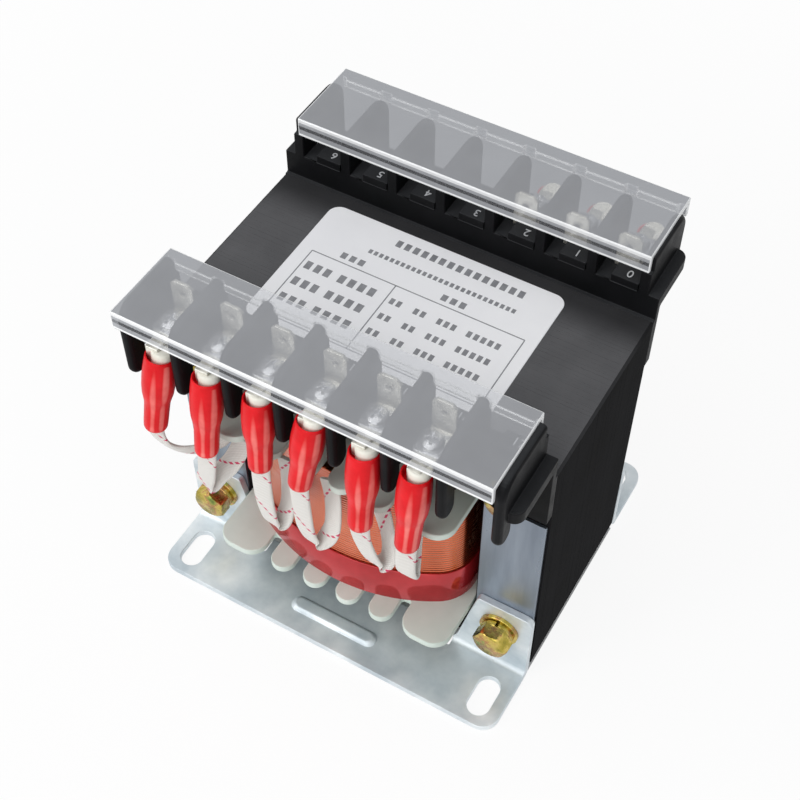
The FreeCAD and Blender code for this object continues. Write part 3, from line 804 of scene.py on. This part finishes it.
def terminalBlock(label, end):
    b = blockSize
    half, low, top, reach = b["half"], b["shelfLow"], b["shelfTop"], b["shelfReach"]
    profile = [(b["face"], b["skirtLow"]), (b["face"], b["coreTop"]), (b["inner"], b["coreTop"]), (b["inner"], top),
               (reach, top), (reach, low), (b["skirt"], low), (b["skirt"], b["skirtLow"])]
    shapes = [prism(profile, -half, half, sideOn)]
    inner = b["positions"] * b["pitch"] / 2
    shapes += [finShape(i * b["pitch"] - inner - b["fin"] / 2) for i in range(b["positions"] + 1)]
    r = b["earCorner"]
    ear = [(inner, reach - b["sink"]), (half, reach - b["sink"])] + arc(half - r, b["ear"] - r, r, 0, 90, 8)
    ear.append((inner, b["ear"]))
    shapes += [prism([(side * p, q) for p, q in ear], low, top) for side in (-1, 1)]
    start, run, rise = b["ledge"]
    wide, deep = b["well"]
    cuts = []
    for i in range(b["positions"]):
        x = centreOf(i)
        shapes.append(block(x - start, x + b["pitch"] / 2, b["inner"] + 0.01, b["inner"] + run, low + 1, top + rise))
        cuts.append(block(x - wide / 2, x + wide / 2, b["screw"] - deep / 2, b["screw"] + deep / 2, 80, 100))
    cuts += [boltHole(side, "high", 20, 30) for side in (-1, 1)]
    made = toEnd(unite(label + "_moulding", shapes, cuts), end)
    return dress(soften(made, b["edge"]), finish["blackMoulding"], "black_moulding", label + "_terminal_block")


for label, end in ends:
    terminalBlock(label, end)

digitSize = {"height": 3.0, "raise": 0.09, "shift": 2.2, "reach": 26.6, "firstInFront": 11}


def digits():
    # rear ledges are numbered to be read from the rear, front ones from the front
    d, b = digitSize, blockSize
    parts = []
    for i in range(b["positions"]):
        for number, end in ((b["positions"] - 1 - i, 1), (d["firstInFront"] + i, -1)):
            curve = put(bpy.data.curves.new("digit", "FONT"), body=str(number), size=d["height"],
                        extrude=d["raise"], align_x="CENTER", align_y="CENTER")
            text = bpy.data.objects.new("digit", curve)
            scene.collection.objects.link(text)
            made = bpy.data.objects.new("digit", evaluated(text))
            bpy.data.objects.remove(text)
            bpy.data.curves.remove(curve)
            place = Vector((centreOf(i) + d["shift"], end * d["reach"], b["shelfTop"] + b["ledge"][2]))
            turn = Matrix.Rotation(math.pi if end > 0 else 0, 4, "Z")
            made.data.transform(Matrix.Translation(place) @ turn)
            parts.append(shapeOf(made))
    return dress(solid("position_digits", parts), finish["ledgeDigits"], "black_moulding")


digits()
print("terminal blocks made")


# Clear covers

coverSize = {"width": 88.4, "shift": 0.5, "wall": 1.2, "inner": 24.1, "outer": 45.3, "lip": 5.0, "top": 100.1,
             "bar": 0.7, "barDrop": 3.2, "barHalf": 4.85, "edge": 0.28}


def clearCover(label, end):
    c = coverSize
    inner, outer, wall, bar, top = c["inner"], c["outer"], c["wall"], c["bar"], c["top"]
    under, low, shift = top - wall, top - c["lip"], end * c["shift"]
    section = [(inner, low), (inner, top), (outer, top), (outer, low), (outer - wall, low), (outer - wall, under),
               (inner + wall, under), (inner + wall, low)]
    shapes = [prism(section, shift - c["width"] / 2, shift + c["width"] / 2, sideOn)]
    for i in range(blockSize["positions"]):
        left, right = centreOf(i) - c["barHalf"], centreOf(i) + c["barHalf"]
        for near in (inner + wall - 0.05, outer - wall - bar + 0.05):
            shapes.append(block(left, right, near, near + bar, under - c["barDrop"], under + 0.1))
    made = toEnd(unite(label + "_clear_cover", shapes), end)
    return dress(soften(made, c["edge"], 3), finish["coverClear"], "clear_plastic", label + "_cover")


for label, end in ends:
    clearCover(label, end)
print("covers made")


# Terminal hardware

# the blade's eye is its distance below the top and its radius
hardware = {"contact": 0.8, "width": 5.6, "bladeAt": 29.6, "bladeHigh": 98.2, "cut": 1.0, "eye": (3.4, 0.8),
            "hole": 1.65, "plateEdge": 0.12, "washer": 6.0, "washerThick": 0.7, "washerCorner": 0.5,
            "washerEdge": 0.1, "seat": 90.8}
# each row's end, the x of its first terminal and its count
rows = {"front": (-1, -37.8, 6), "rear": (1, 12.6, 3)}


def contactPlate(end):
    h = hardware
    half, thick, near = h["width"] / 2, h["contact"], h["bladeAt"]
    low, top, cut = blockSize["shelfTop"], h["bladeHigh"], h["cut"]
    drop, eye = h["eye"]
    blade = mirrored([(half, low), (half, top - cut), (half - cut, top)])
    shapes = [block(-half, half, near, blockSize["shelfReach"], low, low + thick),
              prism(blade, near, near + thick, frontOn)]
    cuts = [prism(circle(0, top - drop, eye, 16), near - 1, near + 2, frontOn),
            prism(circle(0, blockSize["screw"], h["hole"]), 80, 91)]
    return soften(toEnd(unite("plate", shapes, cuts), end), h["plateEdge"], weighted=False)


def squareWasher():
    h = hardware
    half = h["washer"] / 2
    made = unite("washer", [prism(roundBox(half, half, h["washerCorner"], steps=4), 0, h["washerThick"])],
                 [prism(circle(0, 0, h["hole"], 16), -1, 2)])
    return soften(made, h["washerEdge"], weighted=False)


# the cross's arms narrow from the top to the bottom: pairs of height and scale
screwSize = {"shank": ((-5.0, 1.3), (-4.7, 1.5), (0.0, 1.5)), "arm": (0.34, 1.7),
             "taper": ((0.55, 0.6), (2.2, 1.15)), "edge": 0.06,
             "dome": ((0, 2.45), (0.2, 2.6), (0.8, 2.58), (1.2, 2.35), (1.5, 1.8), (1.7, 0.9))}


def terminalScrew():
    s = screwSize
    shapes = [lathe(s["dome"], 28), lathe(s["shank"], 16)]
    for x, y in (s["arm"], s["arm"][::-1]):
        arm = loft([[flat(a * x * size, b * y * size, z) for a, b in ((-1, -1), (1, -1), (1, 1), (-1, 1))]
                    for z, size in s["taper"]])
        made = unite("screw", shapes, [arm])
        shapes = [shapeOf(made)]
    return smooth(soften(solid("screw", shapes), s["edge"], weighted=False), 50)


# one side of the fork is pairs of x and the distance past the screw
lugSize = {"thick": 0.8, "reach": 42.7, "low": 86, "edge": 0.16,
           "side": ((1.6, 4.5), (2.7, 3.3), (2.7, -2.2), (2.3, -2.6), (1.95, -2.6), (1.65, -2.2))}


def lugTongue(end):
    # the fork under the screw, its neck and the turned-down end that enters the boot
    s = lugSize
    screw, low, neck = blockSize["screw"], blockSize["shelfTop"] + hardware["contact"], s["side"][0][0]
    side = [(neck, s["reach"])] + [(x, screw + y) for x, y in s["side"]]
    outline = side + arc(0, screw, hardware["hole"], 0, 180, 10) + [(-x, y) for x, y in reversed(side)]
    shapes = [prism(outline, low, low + s["thick"]),
              block(-neck, neck, s["reach"] - s["thick"], s["reach"], s["low"], low + 0.1)]
    return soften(toEnd(unite("tongue", shapes), end), s["edge"], weighted=False)


# the boot's and the flare's profiles are pairs of the distance down and the radius
bootSize = {"top": 87.0, "reach": 42.3, "sides": 32, "length": 22.0, "flareShift": (0.5, -0.2, 0),
            "outer": ((2.2, 0.6), (2.2, 2.7), (0.3, 2.95), (0.05, 3.05), (0.0, 3.2), (0.15, 3.32), (1.0, 3.42),
                      (3.0, 3.6), (6.0, 3.74), (9.0, 3.68), (11.0, 3.48), (12.4, 3.18), (13.5, 2.96), (14.6, 2.86),
                      (17.0, 2.8), (20.0, 2.74), (21.4, 2.68), (21.9, 2.5), (22.0, 2.25), (21.6, 2.05), (20.5, 1.9)),
            "flare": ((2.1, 1.6), (2.0, 2.3), (0.0, 2.5), (-1.3, 2.62), (-1.7, 2.56), (-1.9, 2.3), (-1.9, 0.6))}
# each boot's place in its row, the shift of its top, its lean, its kick outwards and its length
leads = {
    "front": ((0, (1.0, -1.0, 0.3), -2.0, 3.7, 22.0), (1, (0.3, -1.0, 0.2), -0.2, 3.7, 22.0),
              (2, (0.3, -1.3, 0.9), 0.6, 2.8, 20.4), (3, (0.5, -1.5, 1.2), -2.0, 3.2, 20.0),
              (4, (0.6, -1.0, 0.3), 0.7, 3.7, 21.7), (5, (0.0, -1.1, 0.9), -0.3, 3.3, 22.2)),
    "rear": ((4, (0.6, 0.0, 1.3), -0.5, 3.3, 22.0), (5, (0.6, 0.1, 1.3), 0.2, 3.5, 22.0),
             (6, (0.5, 0.0, 1.2), 0.4, 3.7, 22.0)),
}


def bootAxis(place, shift, lean, kick, length):
    run = Vector((lean, kick, 0))
    run.z = -math.sqrt(length ** 2 - lean ** 2 - kick ** 2)
    return Vector((centreOf(place), bootSize["reach"], bootSize["top"])) + Vector(shift), run.normalized()


def roundLoft(profile, top, axis):
    # profile is pairs of distance down the axis and radius
    wide = Vector((1, 0, 0))
    wide = (wide - axis * wide.dot(axis)).normalized()
    deep = axis.cross(wide)
    return loft([[top + axis * d + wide * a + deep * b for a, b in circle(0, 0, r, bootSize["sides"])]
                 for d, r in profile])


def hardwareRow(label):
    end, startX, count = rows[label]
    screw, seat = end * blockSize["screw"], hardware["seat"]
    pieces = (("_blades", "_contact_plates", "tin", "tinPlate", contactPlate(end), 0, 0, {}),
              ("_washers", "_square_washers", "clear_zinc", "zincScrew", squareWasher(), screw,
               seat - hardware["washerThick"], {"turn": (0, 0, 0.09), "seed": 3}),
              ("_screws", "_terminal_screws", "clear_zinc", "zincScrew", terminalScrew(), screw, seat,
               {"turn": (0, 0, 1.5), "seed": 5}),
              ("_tongues", "_crimp_lugs", "tin", "tinPlate", lugTongue(end), 0, 0,
               {"stray": (0.05, 0, 0), "seed": 2}))
    for name, node, slotName, look, item, y, z, drift in pieces:
        lines = [((startX, y, z), (blockSize["pitch"], 0, 0), count)]
        dress(rowOf(label + name, item, lines, finish[look], **drift), None, slotName, label + node)


def bootRow(label, end):
    s = bootSize
    flares, boots = [], []
    for lead in leads[label]:
        top, axis = bootAxis(*lead)
        grown = lead[-1] / s["length"]
        flares.append(roundLoft(s["flare"], top + Vector(s["flareShift"]), axis))
        boots.append(roundLoft([(d * grown, r) for d, r in s["outer"]], top, axis))
    made = smooth(toEnd(solid(label + "_flares", flares), end), 60)
    dress(made, finish["creamFlare"], "tin", label + "_crimp_lugs")
    made = smooth(toEnd(solid(label + "_boots", boots), end), 75)
    dress(made, finish["bootVinyl"], "red_vinyl", label + "_red_boots")


for label, end in reversed(ends):
    hardwareRow(label)
    bootRow(label, end)
print("terminal hardware made")


# Woven sleeves: each point past the boot with the direction of the width there, the rear drawn first

sleeveSize = {"width": 5.0, "thick": 1.1, "steps": 10, "sides": 14, "blunt": (0.5, 0.85), "hidden": 1.5}
sleevePaths = {
    "front": (
        ((-37.6, 44.6, 60, 0.9, 0.2, 0.4), (-34.8, 42.8, 57.2, 0.5, 0.2, 0.8), (-31, 39.8, 56.4, 0.2, 0.2, 0.95),
         (-27.6, 37.4, 59.4, 0.8, 0.4, 0.4), (-25.5, 36.2, 64.3, 1, 0.2, 0)),
        ((-26.4, 44.9, 56, 1, 0.1, -0.1), (-27.9, 44.3, 50.8, 1, 0.1, -0.35), (-27.3, 43, 49.6, 0.8, 0.3, -0.6),
         (-25.2, 42, 53.4, 0.8, 0.3, -0.55), (-22.4, 40.4, 58, 0.85, 0.3, -0.4), (-20.3, 37.6, 64.3, 1, 0.1, 0)),
        ((-11.4, 44.3, 58, 1, 0, 0), (-10.9, 44.2, 51, 1, 0.1, 0), (-10.4, 43.4, 46.7, 1, 0.15, 0.1),
         (-8.9, 42, 46.9, 1, 0.2, 0.25), (-7.7, 41, 52, 0.95, 0.35, 0.2), (-8.6, 38.8, 58, 0.9, 0.4, -0.1),
         (-9.6, 37.3, 64.3, 1, 0.1, 0)),
        ((-1.5, 44, 58, 1, 0.05, 0), (-0.9, 44, 51.5, 1, 0.1, 0.1), (0.4, 43.2, 47, 1, 0.2, 0.25),
         (2.6, 42, 48.2, 0.95, 0.3, 0.35), (4.3, 41.4, 53, 0.95, 0.3, 0.1), (3.4, 39.2, 59.2, 0.95, 0.3, -0.15),
         (1.5, 37.3, 64.3, 1, 0.1, 0)),
        ((14.4, 45, 60, 1, 0.05, 0.1), (16, 44.5, 54.4, 1, 0.1, 0.1), (17.2, 43.5, 51.6, 1, 0.15, 0.15),
         (19, 42.1, 53.2, 0.95, 0.35, 0.3), (17.8, 40.2, 58.8, 0.9, 0.4, -0.1), (14.2, 37.3, 64.3, 1, 0.2, 0)),
        ((24.9, 45, 58.6, 1, 0, 0), (25, 44.6, 55.4, 1, 0, 0), (24.9, 43.4, 53.8, 1, 0.05, 0),
         (24.4, 41.8, 55.6, 1, 0.1, 0), (23.2, 39, 60.2, 1, 0.15, 0), (22.5, 36.6, 64.3, 1, 0.1, 0))),
    "rear": (
        ((12, 45.2, 53, 1, 0, 0), (11.8, 43.4, 48.8, 1, 0, 0), (11.4, 40.6, 50, 1, 0.1, 0),
         (11, 38, 56.5, 1, 0.1, 0), (11, 37.2, 64.3, 1, 0, 0)),
        ((24.6, 45.4, 54, 1, 0.1, 0), (23.4, 43.8, 50.8, 1, 0.2, 0), (21.8, 40.8, 52.2, 1, 0.2, 0),
         (20.4, 38.2, 57.5, 1, 0.1, 0), (20, 37.2, 64.3, 1, 0, 0)),
        ((37.4, 45, 59.2, 0.9, -0.3, 0.2), (34.2, 42.6, 57.2, 0.7, -0.6, 0.2), (29.8, 39.2, 58.4, 0.7, -0.6, 0.2),
         (26.8, 36.8, 61.4, 0.9, -0.3, 0), (26, 36, 64.3, 1, 0, 0))),
}


def through(points, t):
    # a smooth curve through the points, t from 0 to 1
    last = len(points) - 1
    k = min(int(t * last), last - 1)
    u = t * last - k
    p = [points[max(0, min(last, k + i))] for i in (-1, 0, 1, 2)]
    return 0.5 * (2 * p[1] + (p[2] - p[0]) * u + (2 * p[0] - 5 * p[1] + 4 * p[2] - p[3]) * u * u
                  + (3 * p[1] - p[0] - 3 * p[2] + p[3]) * u ** 3)


def sleeveSection():
    # a flattened ring, fuller than an ellipse
    s = sleeveSize
    return [tuple(size / 2 * math.copysign(abs(part) ** power, part)
                  for size, part, power in zip((s["width"], s["thick"]), spot, s["blunt"]))
            for spot in circle(0, 0, 1, s["sides"])]


def wovenSleeve(name, node, end, lead, path):
    # the band leaves its boot along the boot's own axis
    s = sleeveSize
    top, axis = bootAxis(*lead)
    spots = [top + axis * (lead[-1] + away) for away in (-s["hidden"], s["hidden"])] + [Vector(p[:3]) for p in path]
    sides = [Vector((1, 0, 0))] * 2 + [Vector(p[3:]).normalized() for p in path]
    count = s["steps"] * (len(spots) - 1)
    section = sleeveSection()
    rings, lengths = [], [0.0]
    for k in range(count + 1):
        t = k / count
        spot = through(spots, t)
        if rings:
            lengths.append(lengths[-1] + (spot - before).length)
        before = spot
        ahead = (through(spots, min(1, t + 0.01)) - through(spots, max(0, t - 0.01))).normalized()
        wide = through(sides, t)
        wide = (wide - ahead * wide.dot(ahead)).normalized()
        deep = ahead.cross(wide)
        rings.append([spot + wide * a + deep * b for a, b in section])
    shape = loft(rings)
    shape.verts.ensure_lookup_table()
    layer = shape.loops.layers.uv.new("sleeve")
    for face in shape.faces:
        for corner in face.loops:
            ring, i = divmod(corner.vert.index, len(section))
            corner[layer].uv = (section[i][0] / s["width"] + 0.5, lengths[ring])
    return dress(toEnd(smooth(solid(name, [shape]), 60), end), finish["sleeveWeave"], "woven_sleeve", node)


for label, paths in sleevePaths.items():
    for number, path in enumerate(paths):
        wovenSleeve("%s_lead_weave_%d" % (label, number + 1), "%s_lead_sleeve_%d" % (label, number + 1),
                    rows[label][0], leads[label][number], path)
print("sleeves made")


# Through bolts, nuts and washers

# the cone that turns off a hexagon's corners has its start in apothems, its slope and its rings' heights,
# and the thread's tip the length and slope of its taper and the last ring's share
boltSize = {"radius": 2.5, "flats": 8.0, "head": 3.5, "nut": 4.0, "tail": 2.0, "washer": (5.0, 1.0),
            "spring": (4.2, 1.3), "gap": 0.8, "rise": 0.25, "pitch": 0.8, "thread": 0.32, "start": 0.8,
            "tip": (0.6, 0.6, 0.95), "face": 26.1,
            "cone": (0.95, 1.6), "coneSteps": (0, 0.15, 0.35, 0.7), "edge": 0.12}


def ringAcross(y, radii):
    # a ring round the y axis, with a radius for each of its points
    return [Vector((r * a, y, r * b)) for r, (a, b) in zip(radii, circle(0, 0, 1, len(radii)))]


def hexBody(low, high, openEnd=False):
    # a hexagon whose corners are turned off by a cone, at the open end too where asked
    apothem = boltSize["flats"] / 2
    start, slope = boltSize["cone"]
    steps = boltSize["coneSteps"]
    turns = [(i * math.pi / 24 + math.pi / 6) % (math.pi / 3) - math.pi / 6 for i in range(48)]
    rings = []
    for y in [low + step for step in steps] + [high - step for step in reversed(steps)]:
        away = min(y - low, high - y) if openEnd else y - low
        rings.append(ringAcross(y, [min(apothem / math.cos(t), apothem * start + away * slope) for t in turns]))
    return loft(rings)


def threadedRod(near, far, sides=24):
    b = boltSize
    reach, slope, last = b["tip"]
    steps = int((far - near) / b["pitch"] * 6)
    rings = [ringAcross(near, [b["radius"] * b["start"]] * sides)]
    for k in range(1, steps):
        y = near + (far - near) * k / steps
        crest = b["radius"] - max(0, y - far + reach) * slope
        rings.append(ringAcross(y, [crest - b["thread"] * abs(((y / b["pitch"] + i / sides) % 1) * 2 - 1)
                                    for i in range(sides)]))
    rings.append([Vector((p.x * last, far, p.z * last)) for p in rings[-1]])
    return loft(rings)


def ring(near, far, outer, gap=0.0, rise=0.0):
    # a washer, split at the top where there is a gap
    inner, edge = boltPlace["hole"], boltSize["edge"]
    half = math.degrees(gap / 2 / outer)
    turns = arc(0, 0, 1, 90 + half, 450 - half, 40)
    if not gap:
        turns = turns[:-1]
    section = ((inner, near + edge), (inner + edge, near), (outer - edge, near), (outer, near + edge),
               (outer, far - edge), (outer - edge, far), (inner + edge, far), (inner, far - edge))
    rings = [[Vector((r * a, y + rise * (k / len(turns) - 0.5), r * b)) for r, y in section]
             for k, (a, b) in enumerate(turns)]
    return loft(rings) if gap else hoop(rings)


def fasteners(name, shapes, node, turn=(0, 0, 0), seed=1):
    # a pair low down and a pair high up
    x = boltPlace["x"]
    lines = [((-x, 0, boltPlace[row]), (2 * x, 0, 0), 2) for row in ("low", "high")]
    made = rowOf(name, smooth(solid("item", shapes), 38), lines, finish["yellowZinc"], turn=turn, seed=seed)
    return dress(made, None, "yellow_zinc", node)


def allFasteners():
    # heads stand in front and nuts behind
    b = boltSize
    base = b["face"]
    washerOuter, washer = b["washer"]
    springOuter, spring = b["spring"]
    rear, seat = base + washer, base + washer + spring
    rod = lathe([(-seat, b["radius"]), (rear, b["radius"])], 24, (0, 1, 0))
    fasteners("frame_bolts", [hexBody(-seat - b["head"], -seat), rod, threadedRod(rear, rear + b["nut"] + b["tail"])],
              "through_bolts", (0, 0.5, 0), 6)
    bore = lathe([(base - 1, b["radius"] + 0.1), (base + 12, b["radius"] + 0.1)], 24, (0, 1, 0))
    nut = unite("nut", [hexBody(rear, rear + b["nut"], True)], [bore])
    fasteners("frame_nuts", [shapeOf(nut)], "hex_nuts", (0, 0.5, 0), 8)
    fasteners("frame_washers", [ring(base, rear, washerOuter), ring(-rear, -base, washerOuter)], "flat_washers",
              seed=9)
    fasteners("frame_spring_washers", [ring(-seat, -rear, springOuter, b["gap"], b["rise"])], "spring_washers",
              seed=11)


allFasteners()
print("fasteners made")


# Label: its print stands as bars, fields and table lines

labelSize = {"half": (30.5, 19.7), "corner": 3.0, "centre": (-1.5, 0.7), "low": 82.0, "thick": 0.15,
             "edge": (0.08, 0.06), "ink": 0.02, "block": (0.62, 0.42), "line": 0.14, "rules": (4.75, -16.6),
             "posts": (-28.4, -6.3, 26.0)}
# each row of print: its left end, its middle, its height, its count of blocks and their pitch
labelRows = [(-12.8, 16.4, 2.5, 15, 2.24), (-17.1, 11.1, 1.5, 27, 1.41), (-21.9, 6.9, 2.2, 3, 2.3),
             (4.2, 6.9, 2.2, 3, 2.3)]
for row in range(3):
    labelRows += [(x, 0.3 - 5.5 * row, 2.9, count, pitch) for x, count, pitch in ((-27.4, 3, 2.5), (-18.6, 4, 2.6))]
    labelRows += [(x, 0.2 - 5.0 * row, 2.1, count, 1.75) for x, count in ((-5.2, 2), (0.9, 2), (6.8, 3), (14.2, 5))]


def label():
    s = labelSize
    low, top, corner = s["low"], s["low"] + s["thick"], s["corner"]
    (halfX, halfY), (inset, drop) = s["half"], s["edge"]
    outline = roundBox(halfX, halfY, corner, s["centre"], 10)
    inner = roundBox(halfX - inset, halfY - inset, corner - inset, s["centre"], 10)
    plate = loft(layered([(outline, low), (outline, top - drop), (inner, top)]))
    dress(smooth(solid("rating_label", [plate]), 30), finish["labelFilm"], "label_film", "label_plate")
    (wide, high), line, rules, posts = s["block"], s["line"], s["rules"], s["posts"]
    bars = [(x + i * pitch, x + (i + wide) * pitch, y - tall * high, y + tall * high)
            for x, y, tall, count, pitch in labelRows for i in range(count)]
    bars += [(posts[0], posts[-1], y - line, y + line) for y in rules]
    bars += [(x - line, x + line, rules[-1], rules[0]) for x in posts]
    ink = [block(*bar, top - 0.01, top + s["ink"]) for bar in bars]
    return dress(solid("label_print", ink), finish["labelInk"], "label_film")


label()
print("label made")


# Camera, floor, world and lamps

viewLook = {"place": (0.1048, -0.1851, 0.3168), "forward": (-0.3128, 0.5396, -0.7816), "lens": 64.5}


def stand(name, data, place, ahead):
    made = put(bpy.data.objects.new(name, data), location=place,
               rotation_euler=Vector(ahead).to_track_quat("-Z", "Y").to_euler())
    scene.collection.objects.link(made)
    return made


lens = put(bpy.data.cameras.new("photoView"), lens=viewLook["lens"], sensor_width=36, clip_start=0.01, clip_end=20)
scene.camera = stand("photoView", lens, viewLook["place"], viewLook["forward"])

studio = {"floor": "#fcfcfc", "floorGlow": 0.9, "fade": (0.12, 0.45), "under": (0.0478, 0.0242),
          "behind": "#5e6064", "sky": (0.96, 0.98, 1.0, 1), "ambient": 0.35,
          "lamps": {"overhead": ((-0.15, -0.25, 1.0), (0.9, 0.9), 4.8),
                    "frontLeft": ((-0.55, -0.8, 0.6), (0.4, 0.6), 3.0),
                    "front": ((0.15, -1.1, 0.32), (0.9, 0.5), 3.2)}}


def seenDirectly(made):
    # 1 for what the camera, glossy and clear surfaces see
    camera, glossy, clear = [made.node("LightPath", output="Is %s Ray" % kind)
                             for kind in ("Camera", "Glossy", "Transmission")]
    return made.maths("MINIMUM", camera + glossy + clear, 1.0)


def backdrop(made, kind):
    # white, and grey where it is seen through the clear covers
    white, grey = [made.node(kind, None, {"Color": colour, "Strength": 1.0})
                   for colour in ("#ffffff", studio["behind"])]
    through = made.node("LightPath", output="Transparent Depth") > 0.5
    return made.node("MixShader", None, {0: through, 1: white, 2: grey})


def floor():
    made = Finish("studioFloor")
    spot = made.node("TexCoord", output="Object")
    across, deep, up = [made.maths("ABSOLUTE", way) for way in made.parts(spot)]
    under = (across < studio["under"][0]) * (deep < studio["under"][1])
    away = made.node("VectorMath", {"operation": "LENGTH"}, {0: spot}, 1)
    seen = seenDirectly(made) * made.ease(away, *studio["fade"], studio["floorGlow"], 1.0) * (1 - under)
    lit = made.node("BsdfDiffuse", None, {"Color": studio["floor"]})
    made.surface(made.node("MixShader", None, {0: seen, 1: lit, 2: backdrop(made, "Emission")}))
    rings = layered([(roundBox(size, size, size * 0.4, steps=8), 0) for size in (6000, 300)])
    shape = loft(rings, capped=False)
    shape.faces.new(list(shape.verts)[len(rings[0]):])
    bmesh.ops.recalc_face_normals(shape, faces=shape.faces)
    piece = solid("studio_floor", [shape])
    if piece.data.polygons[0].normal.z < 0:
        piece.data.flip_normals()
    piece.data.transform(Matrix.Translation((0, 0, -0.0001)) @ Matrix.Scale(mm, 4))
    piece.data.materials.append(made.owner)


floor()


def world():
    made = Finish(bpy.data.worlds.new("studioWorld"))
    soft = made.node("Background", None, {"Color": studio["sky"], "Strength": studio["ambient"]})
    white = backdrop(made, "Background")
    made.surface(made.node("MixShader", None, {0: seenDirectly(made), 1: soft, 2: white}))
    scene.world = made.owner


world()
for name, (place, size, power) in studio["lamps"].items():
    lamp = put(bpy.data.lights.new(name, "AREA"), shape="RECTANGLE", size=size[0], size_y=size[1], energy=power)
    stand(name, lamp, place, Vector((0, 0, 0.05)) - Vector(place))
scene.view_settings.view_transform = "Standard"
print("studio set")
